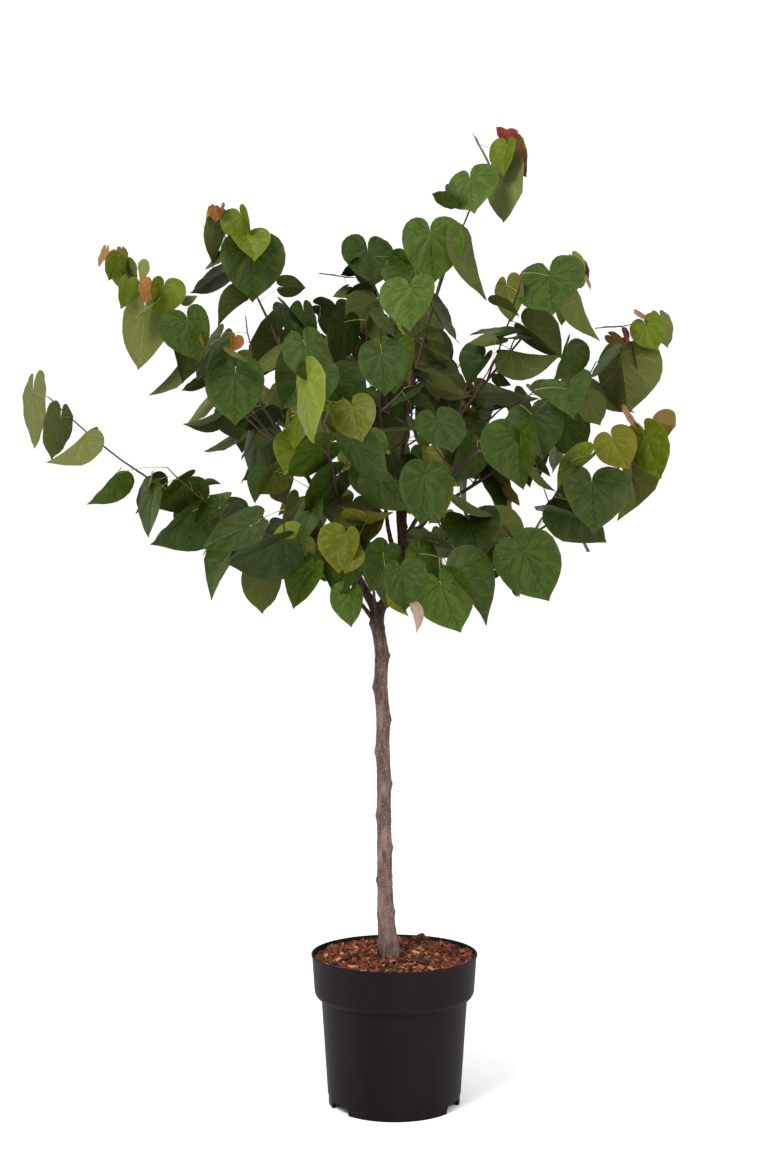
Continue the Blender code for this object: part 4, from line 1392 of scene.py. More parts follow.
# the right half's side veins, from where they branch to where they fade
SIDE_VEINS = (((0.0, 0.27), (0.125, 0.43)), ((0.0, 0.41), (0.175, 0.61)),
              ((0.0, 0.55), (0.165, 0.74)), ((0.0, 0.68), (0.115, 0.82)),
              ((0.0, 0.80), (0.06, 0.89)), ((0.172, 0.246), (0.36, 0.35)),
              ((0.275, 0.393), (0.45, 0.51)), ((0.315, 0.45), (0.33, 0.64)),
              ((0.24, 0.069), (0.39, 0.20)), ((0.39, 0.112), (0.53, 0.20)),
              ((0.22, 0.063), (0.43, -0.03)), ((0.37, 0.106), (0.55, 0.04)),
              ((0.02, -0.012), (0.37, -0.21)), ((0.19, -0.108), (0.21, -0.29)))
COLUMNS = []
for bearing, _, _ in OUTLINE:
    if bearing == 0:
        COLUMNS.append((0, 1))
    elif bearing in MAIN_VEINS:
        COLUMNS += [(bearing, -1), (bearing, 1)]
    else:
        COLUMNS.append((bearing, 0))
COLUMNS = [(-bearing, -edge) for bearing, edge in reversed(COLUMNS)] + COLUMNS


def reach_at(bearing, lobes):
    """The outline's reach from the notch, from a plain leaf at 0 to a deep-lobed one at 1."""
    plain, deep = next(row[1:] for row in OUTLINE if row[0] == abs(bearing))
    return plain + (deep - plain) * lobes


def on_fan(column, row, lobes):
    """Where a corner of the grid lies on the flat leaf, one unit from notch to tip."""
    bearing, edge = COLUMNS[column]
    share = ROWS[row]
    out = reach_at(bearing, lobes) * share
    angle = math.radians(bearing)
    if edge and out > 0.0:
        width = MIDRIB_WIDTH if bearing == 0 else MAIN_WIDTH
        angle += edge * width * (1.02 - share) ** 0.6 / out
    return Vector((out * math.sin(angle), out * math.cos(angle)))


def vein_lines():
    """All veins as flat segments: the main ones, and the side ones of both halves."""
    lines = []
    for bearing in MAIN_VEINS:
        for hand in (1.0,) if bearing == 0 else (1.0, -1.0):
            turn = math.radians(bearing) * hand
            reach = reach_at(bearing, 0.0)
            lines.append((Vector((0.0, 0.0)), Vector((reach * math.sin(turn), reach * math.cos(turn)))))
    for first, last in SIDE_VEINS:
        for hand in (-1.0, 1.0):
            lines.append((Vector((first[0] * hand, first[1])), Vector((last[0] * hand, last[1]))))
    return lines


def beside(point, line):
    """How far along a segment a flat point lies, as a share, and how far off it."""
    first, last = line
    along = last - first
    share = (point - first).dot(along) / along.length_squared
    foot = first + along * min(max(share, 0.0), 1.0)
    return share, (point - foot).length


VEIN_LINES = vein_lines()
print("columns:", len(COLUMNS), "rows:", len(ROWS) - 1, "veins:", len(VEIN_LINES))

# %% Cut the side veins, and raise the blade
# LIGHT faces are lighter patches of painted light, for the mottle of light on the quilted blade
TOP, LIGHT, VEIN, MARGIN, UNDER, UNDER_VEIN = range(6)
SWELLING = 0.020
SWELLING_FADE = 0.030
RIPPLES = 9.0
NOTCH_LIFT = 0.08
THICKNESS = 0.006
# noise size and threshold for the lighter faces: painted light of the quilted blade between veins
PAINTED_LIGHT_PATCH_SIZE = 9.0
PAINTED_LIGHT_PATCH_FROM = 0.02


def cut_vein(bm, line):
    """Cut a thin strip along a side vein and give its faces the vein's slot."""
    first, last = line
    along = (last - first).normalized()
    across = Vector((along.y, -along.x, 0.0))
    for side in (-0.5, 0.5):
        near = []
        for face in bm.faces:
            share, away = beside(face.calc_center_median().xy, line)
            if -0.05 < share < 1.0 and away < 0.10:
                near.append(face)
        edges = dict.fromkeys(edge for face in near for edge in face.edges)
        verts = dict.fromkeys(vert for face in near for vert in face.verts)
        place = first.to_3d() + across * (side * FINE_WIDTH)
        bmesh.ops.bisect_plane(bm, geom=list(verts) + list(edges) + near, dist=1e-5,
                               plane_co=place, plane_no=across)
    # on the upper side the vein slot's darker colour is painted shade of the sunken groove
    for face in bm.faces:
        share, away = beside(face.calc_center_median().xy, line)
        if 0.0 < share < 1.0 and away < 0.55 * FINE_WIDTH:
            face.material_index = VEIN


def raised(x, y, fold, curl, wave, cup):
    """The height of the blade over a flat point."""
    away = min(beside(Vector((x, y)), line)[1] for line in VEIN_LINES)
    out = math.hypot(x, y)
    height = abs(x) * math.tan(fold) - curl * max(y, 0.0) ** 2 - 2.0 * cup * x * x
    height += SWELLING * (1.0 - math.exp(-away / SWELLING_FADE)) * min(1.0, 3.0 * out)
    height += wave * out * math.sin(RIPPLES * math.atan2(x, y) + 0.7) * min(1.0, 1.6 * out)
    return height + NOTCH_LIFT * max(-y, 0.0)


def flat_fan(lobes, with_side_veins):
    bm = bmesh.new()
    last_column, last_row = len(COLUMNS) - 1, len(ROWS) - 1
    bmesh.ops.create_grid(bm, x_segments=last_column, y_segments=last_row, size=1.0)
    spots = {vert: (round((vert.co.x + 1.0) / 2.0 * last_column),
                    round((vert.co.y + 1.0) / 2.0 * last_row)) for vert in bm.verts}
    for face in bm.faces:
        columns = [spots[vert][0] for vert in face.verts]
        rows = [spots[vert][1] for vert in face.verts]
        on_vein = COLUMNS[min(columns)][0] == COLUMNS[max(columns)][0]
        # vein faces get the darker vein colour above: painted shade of the veins' sunken grooves
        face.material_index = VEIN if on_vein else MARGIN if min(rows) == last_row - 1 else TOP
    for vert, (column, row) in spots.items():
        vert.co = on_fan(column, row, lobes).to_3d()
    bmesh.ops.remove_doubles(bm, verts=bm.verts, dist=1e-5)
    bmesh.ops.delete(bm, geom=[face for face in bm.faces if face.calc_area() < 1e-8],
                     context="FACES_ONLY")
    if with_side_veins:
        for line in VEIN_LINES[2 * len(MAIN_VEINS) - 1:]:
            cut_vein(bm, line)
    return bm


def leaf_shape(number, fold, curl, wave, cup, lobes, with_side_veins=True):
    bm = flat_fan(lobes, with_side_veins)
    # faces picked by noise take the lighter colour: painted light that the quilted blade catches
    for face in bm.faces:
        middle = face.calc_center_median()
        tone = noise.noise(middle * PAINTED_LIGHT_PATCH_SIZE + Vector((0.0, 0.0, 3.0 * number)))
        if face.material_index == TOP and tone > PAINTED_LIGHT_PATCH_FROM:
            face.material_index = LIGHT
    bmesh.ops.recalc_face_normals(bm, faces=bm.faces)
    if sum(face.normal.z for face in bm.faces) < 0.0:
        bmesh.ops.reverse_faces(bm, faces=bm.faces)
    inner = [vert for vert in bm.verts if not vert.is_boundary]
    for vert in bm.verts:
        vert.co.z = raised(vert.co.x, vert.co.y, math.radians(fold), curl, wave, cup)
    copied = bmesh.ops.duplicate(bm, geom=bm.verts[:] + bm.edges[:] + bm.faces[:])
    under = [part for part in copied["geom"] if isinstance(part, bmesh.types.BMFace)]
    bmesh.ops.reverse_faces(bm, faces=under)
    for face in under:
        face.material_index = UNDER_VEIN if face.material_index == VEIN else UNDER
    below = [copied["vert_map"][vert] for vert in inner]
    bmesh.ops.translate(bm, verts=below, vec=(0.0, 0.0, -THICKNESS))
    bmesh.ops.remove_doubles(bm, verts=bm.verts, dist=1e-6)
    return shape_of(bm, outward=False)


# fold in degrees, curl of the tip, wave of the rim, cup across, depth of the lobes
LEAF_KINDS = ((10.0, 0.10, 0.018, 0.10, 0.5), (18.0, 0.16, 0.012, 0.05, 0.3),
              (6.0, 0.22, 0.024, 0.22, 0.7), (24.0, 0.10, 0.018, 0.0, 0.15),
              (12.0, 0.05, 0.028, 0.16, 1.0), (30.0, 0.20, 0.014, 0.0, 0.4))
SMALL_LEAF = 0.055
leaf_kinds = [leaf_shape(number, *kind) for number, kind in enumerate(LEAF_KINDS)]
small_kinds = [leaf_shape(number, *kind, False) for number, kind in enumerate(LEAF_KINDS)]
for shapes in (leaf_kinds, small_kinds):
    print("faces of one leaf:", len(shapes[0].faces), "points:", len(shapes[0].points))

# %% [markdown]
# ## The colours of the leaves
# Full leaves are deep green above and greyish olive below. Above, lighter green patches are
# painted light, for the mottle of light that the quilted blade catches between its veins, and
# the darker veins are painted shade, for the shade in their sunken grooves. The shoots' ends
# are yellow-green, bronze and red, and a few old leaves near the fork have turned yellow. Each
# tone is a set of plain colours for the six kinds of face, dealt out leaf by leaf and spray by
# spray. They are given as they look in the light of this studio, and the paint below it is
# worked out from that.

# %% Mix the tones
# upper side, its lighter patches (painted light), its veins (darker as painted shade of their
# grooves), margin, underside, its veins
TONES = {
    "deep": ((55, 71, 31), (62, 79, 35), (36, 47, 20), (62, 76, 36), (84, 92, 50), (108, 114, 66)),
    "leaf": ((63, 81, 33), (71, 90, 37), (41, 54, 22), (73, 88, 38), (94, 101, 53), (121, 125, 73)),
    "mid": ((73, 94, 34), (82, 104, 39), (49, 65, 25), (86, 103, 42), (106, 112, 57), (132, 134, 78)),
    "fresh": ((98, 112, 33), (108, 122, 40), (68, 84, 27), (118, 122, 46), (110, 115, 64),
              (136, 138, 84)),
    "bright": ((120, 134, 48), (129, 143, 55), (94, 111, 40), (142, 150, 72), (122, 128, 72),
               (146, 149, 92)),
    "gold": ((116, 118, 42), (128, 124, 45), (86, 98, 34), (148, 98, 50), (128, 122, 60),
             (156, 142, 76)),
    "turning": ((90, 100, 32), (106, 110, 37), (66, 82, 28), (134, 108, 46), (110, 114, 58),
                (140, 136, 76)),
    "bronze": ((138, 108, 54), (152, 122, 60), (112, 82, 42), (148, 92, 54), (124, 104, 58),
               (146, 118, 70)),
    "copper": ((144, 96, 52), (158, 110, 58), (118, 72, 42), (158, 86, 56), (136, 92, 56),
               (156, 106, 66)),
    "dead": ((186, 158, 134), (196, 170, 148), (150, 120, 98), (176, 146, 122), (190, 164, 142),
             (160, 130, 108)),
    "red": ((144, 68, 56), (156, 80, 62), (114, 46, 40), (158, 72, 60), (148, 78, 66), (164, 96, 78)),
}
# the "light" part is painted light of the quilted blade, and the upper "vein" part is painted shade of
# the grooves
PARTS_OF_LEAF = ("top", "light", "vein", "margin", "under", "under_vein")
TONE_NAMES = list(TONES)
STUDIO_LIGHT = 1.75
STUDIO_GLARE = 0.010
DARKEST = 0.003
# roughness and shine of the two sides
SATIN_TOP = (0.45, 0.11)
DULL_UNDER = (0.65, 0.08)


def leaf_looks():
    looks = []
    for tone, colours in TONES.items():
        for part, colour in zip(PARTS_OF_LEAF, colours):
            roughness, shine = DULL_UNDER if part.startswith("under") else SATIN_TOP
            colour = tuple(max(c - STUDIO_GLARE, DARKEST) / STUDIO_LIGHT for c in paint(*colour))
            looks.append(Look(f"leaf_{tone}_{part}", colour, roughness, shine))
    return looks


# what the end of each shoot wears
SHOOT_ENDS = {"leaves_top": ("red", "copper"), "leaves_left": ("copper", "fresh"),
              "leaves_upper_left": ("copper", "bronze"), "leaves_upper_right": ("bronze", "copper"),
              "leaves_mid_right": ("copper", "bronze"), "leaves_right": ("bronze", "fresh"),
              "leaves_back": ("bronze", "copper"), "leaves_back_left": ("copper", "bronze")}
# the share of leaves that show their underside to the front
TURNED_OVER = {"leaves_far_left": 0.75, "leaves_upper_left": 0.35, "leaves_left": 0.25,
               "leaves_upper_right": 0.45, "leaves_mid_right": 0.40, "leaves_right": 0.30}
# a leaf longer than this has lost its copper
YOUNG_LEAF = 0.050
# old leaves have turned yellow round this point above the fork
FORK_GLOW = Vector((-0.010, -0.08, 0.965))
GLOW_REACH = 0.19
GLOW_SHARE = 0.30
BRIGHT_SHARE = 0.05


def tone_of(leaf, dice):
    ends = SHOOT_ENDS.get(leaf.row.name)
    if ends and leaf.share > 0.90:
        return dice.choice(ends if leaf.length < YOUNG_LEAF else ("fresh", "mid"))
    if ends and leaf.share > 0.78:
        return dice.choice(("fresh", "bright", "mid"))
    glow = (leaf.notch - FORK_GLOW).length
    if glow < GLOW_REACH and dice.random() < GLOW_SHARE:
        return dice.choice(("gold", "turning", "turning", "bright"))
    if dice.random() < BRIGHT_SHARE:
        return dice.choice(("bright", "fresh"))
    return dice.choice(("deep", "deep", "deep", "leaf", "leaf", "mid"))


looks_of_leaves = leaf_looks()
print("leaf looks:", len(looks_of_leaves))


# %% [markdown]
# ## Young leaves at the tips
# Most shoots in the photo end in a tuft of small new leaves, many of them copper or red.
# They are set round the end of each stem, smaller towards the tip.

# %% Add a tuft to each shoot's end
TUFT_LEAVES = 4
TUFT_SIZES = (0.040, 0.020)
TUFT_FROM = 0.93
TUFT_REACH = 0.07
TUFT_TRIES = 30


def tuft(row):
    dice = random.Random(row.seed + 9000)
    stem = stems[row.name]
    made = []
    hand = dice.choice((-1.0, 1.0))
    for index in range(TUFT_LEAVES):
        part = index / (TUFT_LEAVES - 1)
        size = TUFT_SIZES[0] + (TUFT_SIZES[1] - TUFT_SIZES[0]) * part
        point, _ = stem.at(TUFT_FROM + TUFT_REACH * part)
        for _ in range(TUFT_TRIES):
            notch, axis, normal = leaf_pose(point, stem.heading(), hand, size, dice)
            if not stalk_clears_blade(notch - point, axis, normal):
                continue
            if room.is_free(*leaf_solid(point, notch, axis, normal, size, 0.001), stem):
                room.add(*leaf_solid(point, notch, axis, normal, size))
                made.append(Leaf(point, notch, axis, normal, size, 0.97, row))
                break
        hand = -hand
    return made


for row in MASSES:
    leaves += tuft(row)
print("leaves with tufts:", len(leaves))

# %% [markdown]
# ## Leaves that the photo shows plainly
# The rule scatters leaves where the solids have them, and the eye knows a plant by the few
# leaves in front. So the plainly seen ones are listed by where their notch and tip appear.
# For each, a leaf is turned and sized until it appears there, at the depth of the rule's
# leaves round it, and its stalk runs back to the nearest wood. The rule's nearest leaf gives
# way to it, and so do leaves that would hide it, fill the open sky or cover the fork.

# %% List the plainly seen leaves
# notch x and y and tip x and y in the photo's pixels, width seen in pixels, tone, whether the
# underside shows, and layer from the front
PLAIN_LEAVES = (
    (508, 136, 519, 131, 11, "red", 0, 0), (507, 138, 495, 127, 8, "red", 0, 0),
    (514, 146, 525, 178, 16, "copper", 0, 1), (503, 145, 497, 175, 24, "fresh", 0, 0),
    (478, 143, 495, 171, 9, "fresh", 0, 1), (472, 178, 473, 207, 52, "mid", 0, 1),
    (505, 171, 506, 223, 34, "bright", 1, 2), (450, 201, 431, 194, 11, "mid", 0, 1),
    (450, 188, 455, 207, 9, "mid", 0, 1), (432, 231, 437, 283, 63, "mid", 0, 0),
    (460, 240, 470, 304, 26, "leaf", 1, 1), (407, 288, 405, 328, 55, "mid", 0, 0),
    (397, 258, 414, 270, 18, "mid", 0, 1), (368, 250, 374, 286, 54, "deep", 0, 1),
    (345, 277, 318, 272, 7, "deep", 0, 1), (358, 264, 344, 279, 11, "deep", 0, 1),
    (362, 262, 369, 302, 20, "leaf", 1, 2), (348, 289, 335, 300, 14, "deep", 1, 1),
    (365, 291, 343, 298, 14, "deep", 0, 1),
    (214, 209, 217, 222, 13, "copper", 0, 0), (223, 206, 219, 217, 6, "red", 0, 0),
    (211, 210, 207, 231, 8, "bronze", 0, 1), (223, 222, 203, 263, 15, "fresh", 1, 1),
    (234, 216, 240, 246, 30, "fresh", 0, 1), (251, 236, 259, 258, 38, "fresh", 0, 0),
    (253, 247, 257, 301, 64, "leaf", 0, 1), (226, 250, 207, 272, 16, "deep", 1, 2),
    (224, 273, 192, 297, 12, "deep", 0, 2), (283, 286, 306, 286, 19, "deep", 1, 2),
    (243, 296, 211, 316, 13, "leaf", 1, 2),
    (105, 251, 98, 267, 12, "copper", 0, 0), (113, 253, 104, 270, 12, "bronze", 0, 1),
    (122, 250, 125, 263, 9, "bronze", 1, 1), (117, 260, 109, 281, 17, "fresh", 0, 0),
    (128, 264, 138, 277, 14, "fresh", 1, 1), (121, 263, 128, 298, 24, "bright", 1, 1),
    (143, 264, 146, 283, 14, "bright", 1, 1), (150, 283, 143, 303, 22, "copper", 0, 0),
    (131, 283, 127, 310, 18, "bright", 0, 0), (156, 300, 134, 319, 12, "fresh", 0, 0),
    (170, 286, 169, 317, 33, "fresh", 0, 0), (184, 300, 198, 301, 13, "leaf", 1, 1),
    (146, 308, 144, 371, 56, "mid", 1, 1), (184, 320, 194, 362, 52, "leaf", 0, 0),
    (188, 345, 196, 380, 28, "leaf", 0, 1), (185, 366, 159, 403, 24, "leaf", 1, 2),
    (222, 341, 193, 378, 34, "deep", 0, 1), (204, 380, 182, 393, 8, "deep", 0, 2),
    (204, 337, 206, 350, 8, "bronze", 0, 0), (238, 338, 235, 353, 13, "copper", 0, 1),
    (235, 372, 233, 425, 62, "leaf", 0, 0), (212, 400, 190, 427, 18, "mid", 1, 2),
    (216, 417, 187, 433, 6, "deep", 0, 2), (230, 410, 238, 441, 36, "deep", 0, 1),
    (240, 436, 206, 456, 16, "leaf", 1, 2), (230, 352, 252, 362, 8, "turning", 0, 1),
    (34, 392, 37, 449, 37, "fresh", 1, 1), (60, 418, 50, 461, 19, "fresh", 1, 1),
    (92, 440, 60, 475, 30, "fresh", 1, 1), (122, 479, 95, 512, 19, "mid", 0, 1),
    (150, 484, 153, 468, 5, "mid", 0, 0), (150, 487, 138, 513, 13, "leaf", 1, 2),
    (152, 491, 143, 537, 29, "leaf", 0, 0), (196, 487, 160, 519, 32, "leaf", 0, 0),
    (192, 482, 172, 482, 14, "mid", 1, 1), (205, 484, 220, 479, 6, "deep", 0, 1),
    (227, 495, 207, 500, 6, "leaf", 1, 1), (218, 504, 188, 523, 24, "deep", 0, 0),
    (232, 507, 205, 522, 12, "leaf", 0, 0), (203, 520, 165, 560, 42, "leaf", 0, 1),
    (250, 525, 201, 547, 40, "deep", 0, 0), (230, 548, 196, 588, 32, "leaf", 0, 1),
    (288, 553, 230, 580, 44, "deep", 0, 0), (262, 572, 259, 614, 38, "mid", 1, 1),
    (308, 565, 284, 604, 38, "mid", 0, 0),
    (281, 308, 303, 338, 17, "deep", 0, 1), (301, 312, 312, 346, 26, "deep", 0, 1),
    (320, 306, 341, 313, 16, "deep", 0, 1), (302, 344, 322, 386, 46, "leaf", 0, 0),
    (345, 322, 338, 366, 31, "deep", 0, 1), (318, 345, 338, 372, 22, "deep", 0, 2),
    # the bright leaf with its notch at 311, 378 is lit from behind: its bright tone is painted light
    # shining through the blade
    (365, 302, 372, 352, 40, "deep", 1, 2), (311, 378, 307, 443, 34, "bright", 0, 0),
    (300, 413, 291, 449, 28, "fresh", 0, 1), (281, 352, 250, 378, 24, "leaf", 1, 2),
    (272, 394, 291, 411, 20, "leaf", 1, 2), (270, 412, 236, 434, 18, "deep", 0, 1),
    (264, 432, 250, 480, 38, "deep", 0, 1), (340, 372, 372, 404, 36, "deep", 0, 1),
    (382, 352, 387, 396, 50, "leaf", 0, 0), (402, 336, 409, 373, 27, "leaf", 0, 1),
    (377, 316, 397, 336, 16, "leaf", 0, 1), (352, 407, 361, 441, 46, "turning", 0, 0),
    (322, 448, 286, 478, 30, "mid", 0, 0), (356, 440, 385, 484, 36, "leaf", 0, 0),
    (335, 478, 304, 513, 32, "leaf", 0, 0), (312, 508, 290, 548, 27, "leaf", 0, 1),
    (280, 474, 264, 499, 26, "turning", 0, 1), (292, 495, 284, 518, 16, "turning", 1, 2),
    (262, 470, 247, 500, 24, "deep", 0, 1), (340, 533, 331, 572, 42, "turning", 0, 0),
    (352, 552, 345, 573, 28, "turning", 0, 0), (347, 591, 344, 627, 34, "mid", 0, 0),
    (384, 552, 373, 594, 38, "leaf", 0, 1), (404, 569, 411, 611, 46, "leaf", 0, 0),
    (395, 594, 399, 618, 18, "turning", 0, 1), (420, 553, 437, 597, 34, "mid", 0, 1),
    (440, 584, 458, 634, 58, "mid", 0, 0), (352, 512, 392, 521, 14, "gold", 0, 1),
    (408, 503, 411, 515, 10, "gold", 0, 1), (356, 534, 354, 550, 12, "gold", 0, 1),
    (426, 474, 424, 526, 54, "leaf", 0, 0), (372, 480, 402, 518, 34, "leaf", 0, 0),
    (432, 452, 437, 482, 22, "gold", 0, 1), (418, 538, 456, 546, 18, "deep", 1, 1),
    (470, 522, 480, 556, 60, "deep", 0, 1), (462, 564, 505, 609, 46, "leaf", 0, 0),
    (523, 551, 548, 602, 63, "leaf", 0, 0), (514, 584, 516, 598, 9, "leaf", 1, 2),
    (561, 508, 595, 552, 44, "leaf", 0, 1), (594, 481, 597, 533, 68, "leaf", 0, 0),
    (634, 462, 638, 520, 34, "turning", 1, 2), (630, 456, 634, 500, 10, "bright", 0, 1),
    (646, 436, 659, 480, 33, "fresh", 0, 0), (586, 452, 550, 480, 22, "fresh", 0, 1),
    (486, 475, 515, 519, 26, "deep", 0, 1), (507, 490, 521, 505, 9, "bronze", 1, 1),
    (460, 500, 491, 523, 12, "leaf", 1, 1), (515, 464, 526, 489, 18, "leaf", 1, 1),
    (533, 470, 550, 496, 13, "leaf", 1, 1), (530, 462, 553, 472, 10, "deep", 1, 1),
    (476, 447, 460, 488, 34, "leaf", 0, 1),
    (508, 285, 515, 322, 26, "turning", 1, 1), (495, 301, 522, 308, 8, "deep", 0, 0),
    (549, 276, 552, 314, 68, "leaf", 0, 0), (574, 257, 587, 270, 16, "gold", 0, 1),
    (586, 278, 592, 290, 7, "bronze", 0, 0), (530, 322, 569, 349, 30, "leaf", 1, 1),
    (572, 300, 583, 346, 26, "mid", 1, 1), (496, 330, 469, 332, 10, "deep", 0, 0),
    (497, 338, 469, 344, 18, "leaf", 1, 1), (500, 333, 523, 325, 12, "deep", 0, 1),
    (524, 337, 506, 339, 7, "fresh", 1, 1), (508, 361, 557, 374, 34, "leaf", 1, 1),
    (478, 352, 458, 378, 30, "deep", 0, 1), (577, 348, 568, 385, 31, "leaf", 0, 0),
    (564, 389, 567, 413, 50, "leaf", 0, 0), (588, 400, 600, 426, 34, "leaf", 1, 1),
    (496, 377, 508, 389, 10, "deep", 0, 1), (487, 391, 535, 411, 18, "deep", 1, 1),
    (505, 404, 460, 415, 12, "deep", 0, 1), (462, 413, 488, 425, 12, "deep", 1, 1),
    (533, 414, 546, 458, 58, "deep", 0, 0), (563, 425, 584, 460, 34, "deep", 0, 1),
    (508, 433, 505, 487, 54, "leaf", 0, 0), (458, 429, 480, 449, 22, "leaf", 1, 1),
    (630, 355, 639, 413, 60, "mid", 1, 1), (592, 388, 626, 422, 20, "deep", 1, 2),
    (615, 356, 628, 403, 30, "leaf", 1, 2), (612, 353, 590, 382, 12, "leaf", 0, 0),
    (645, 324, 658, 350, 36, "fresh", 0, 0), (661, 320, 667, 349, 27, "turning", 1, 1),
    (637, 313, 650, 320, 9, "copper", 0, 0), (622, 326, 594, 327, 5, "copper", 0, 0),
    (625, 330, 630, 344, 8, "red", 0, 0), (611, 337, 626, 349, 9, "bronze", 0, 0),
    (655, 421, 677, 427, 34, "bronze", 1, 1), (627, 414, 644, 437, 13, "copper", 0, 0),
    (612, 438, 628, 470, 42, "gold", 0, 0), (621, 431, 628, 440, 10, "copper", 0, 0),
    (647, 432, 652, 446, 8, "red", 0, 0), (436, 300, 455, 347, 20, "deep", 1, 1),
    (412, 338, 452, 360, 36, "leaf", 1, 1), (412, 362, 446, 380, 16, "deep", 1, 1),
    (416, 388, 388, 405, 14, "deep", 0, 1), (412, 398, 440, 406, 18, "deep", 0, 1),
    (437, 385, 462, 390, 18, "turning", 1, 1), (384, 431, 432, 425, 10, "leaf", 0, 1),
    (414, 608, 424, 630, 8, "dead", 0, 0),
)
Plain = namedtuple("Plain", "nx ny tx ty width tone under layer")
plain_leaves = sorted((Plain(*row) for row in PLAIN_LEAVES), key=lambda row: row.layer)
print("plainly seen leaves:", len(plain_leaves))

# %% Turn the nearest leaves to them
BLADE_WIDTH = 1.22
LAYER_PICK = (0.0, 0.35, 0.7)
LAYER_GAP = 0.010
LAYER_SLANT = 0.40
NEAR_PIXELS = 34.0
REPLACE_WITHIN = 0.085
MOST_HIDING = 0.5
SAME_DEPTH = 0.02
# a blade seen edge on still shows this share of its width
LEAST_SEEN = 0.12
# how much one round of fitting may change a width
FIT_LIMITS = (0.8, 1.25)
WOOD_STEP = 0.008
BOUGH_POINTS = 12
WOODS_TRIED = 12
SHORTEST_STALK = 0.010
YOUNG_WIDTH = 20
# where the photo shows the fork's bare arms: middle and half size in pixels
FORK_VIEW = (396, 532, 28, 34)
SKY_SAMPLES = ((0.0, 0.15), (0.0, 0.80), (-0.32, 0.35), (0.32, 0.35))


def slants(nx, ny, tx, ty, width, depth):
    """How far a blade reaches in depth, along and across, to appear as listed there."""
    scale = (depth - CAMERA_PLACE[1]) / FOCAL_PIXELS
    seen_length, seen_width = math.hypot(tx - nx, ty - ny) * scale, width * scale
    full = max(seen_length, seen_width / BLADE_WIDTH)
    return (math.sqrt(max(0.0, full ** 2 - seen_length ** 2)),
            math.sqrt(max(0.0, (full * BLADE_WIDTH) ** 2 - seen_width ** 2)))


def depths_of_plain_leaves(grown_leaves):
    """A depth for each listed leaf, from the rule's leaves there and what hangs before it."""
    spots = [(in_photo(middle_of(leaf)), middle_of(leaf).y) for leaf in grown_leaves]
    placed = []
    for nx, ny, tx, ty, width, _, _, layer in plain_leaves:
        here = Vector((nx + LEAF_HEART * (tx - nx), ny + LEAF_HEART * (ty - ny)))
        near = sorted(((spot - here).length, depth) for spot, depth in spots)
        depths = sorted(depth for away, depth in near if away < NEAR_PIXELS)
        if len(depths) < 3:
            depths = sorted(depth for _, depth in near[:3])
        depth = depths[int(LAYER_PICK[layer] * (len(depths) - 1))]
        half = 0.5 * max(slants(nx, ny, tx, ty, width, depth))
        for other, other_width, other_layer, other_half, other_depth in placed:
            if other_layer < layer and (other - here).length < 0.5 * (width + other_width):
                depth = max(depth, other_depth + LAYER_GAP + LAYER_SLANT * (half + other_half))
        placed.append((here, width, layer, half, depth))
    return [depth for _, _, _, _, depth in placed]


def posed(nx, ny, tx, ty, width, depth, hand):
    """Notch, axis, normal and length of a blade that appears as listed at a depth."""
    slant, _ = slants(nx, ny, tx, ty, width, depth)
    notch = from_photo(nx, ny, depth + LEAF_HEART * slant)
    axis = from_photo(tx, ty, depth - (1.0 - LEAF_HEART) * slant) - notch
    length = axis.length
    axis.normalize()
    seen_width = width * (depth - CAMERA_PLACE[1]) / FOCAL_PIXELS
    roll = math.acos(min(1.0, max(seen_width / (length * BLADE_WIDTH), LEAST_SEEN))) * hand
    facing = (FRONT - axis * FRONT.dot(axis)).normalized()
    return notch, axis, Quaternion(axis, roll) @ facing, length


def fitted(row, depth, hand, shape):
    """A pose whose real outline has the listed width and lies about the listed line."""
    width = row.width
    for _ in range(2):
        notch, axis, normal, length = posed(*row[:4], width, depth, hand)
        normal = -normal if row.under else normal
        blade = shape.points @ np.array([axis.cross(normal)[:], axis[:], normal[:]]) * length
        across = axis.cross(FRONT).normalized()
        spread = blade @ np.array(across[:])
        seen_width = row.width * (depth - CAMERA_PLACE[1]) / FOCAL_PIXELS
        least, most = FIT_LIMITS
        width *= min(most, max(least, seen_width / (spread.max() - spread.min())))
    return notch - across * ((spread.max() + spread.min()) / 2.0), axis, normal, length


def in_fork_view(point):
    x, y = in_photo(point)
    mx, my, hx, hy = FORK_VIEW
    return ((x - mx) / hx) ** 2 + ((y - my) / hy) ** 2 < 1.0


def shows_in_sky(leaf):
    """Whether half of a blade or more covers open sky of the photo, or the fork's bare arms."""
    side = leaf.axis.cross(leaf.normal)
    points = [leaf.notch + (side * across + leaf.axis * along) * leaf.length
              for across, along in SKY_SAMPLES]
    return sum(in_open_sky(point) or in_fork_view(point) for point in points) >= 2


def wood_points():
    """Points along shoots, twigs and the boughs' outer parts, each with its mass."""
    points = []
    for row in MASSES:
        for twig in [stems[row.name]] + twigs_of[row.name] + spurs_of[row.name]:
            count = max(4, round(twig.length() / WOOD_STEP))
            points += [(twig.at(index / count)[0], row) for index in range(count + 1)]
    for row in MASSES:
        bough = limbs[row.bough]
        points += [(bough.at(index / BOUGH_POINTS)[0], row) for index in range(4, BOUGH_POINTS + 1)]
    return points


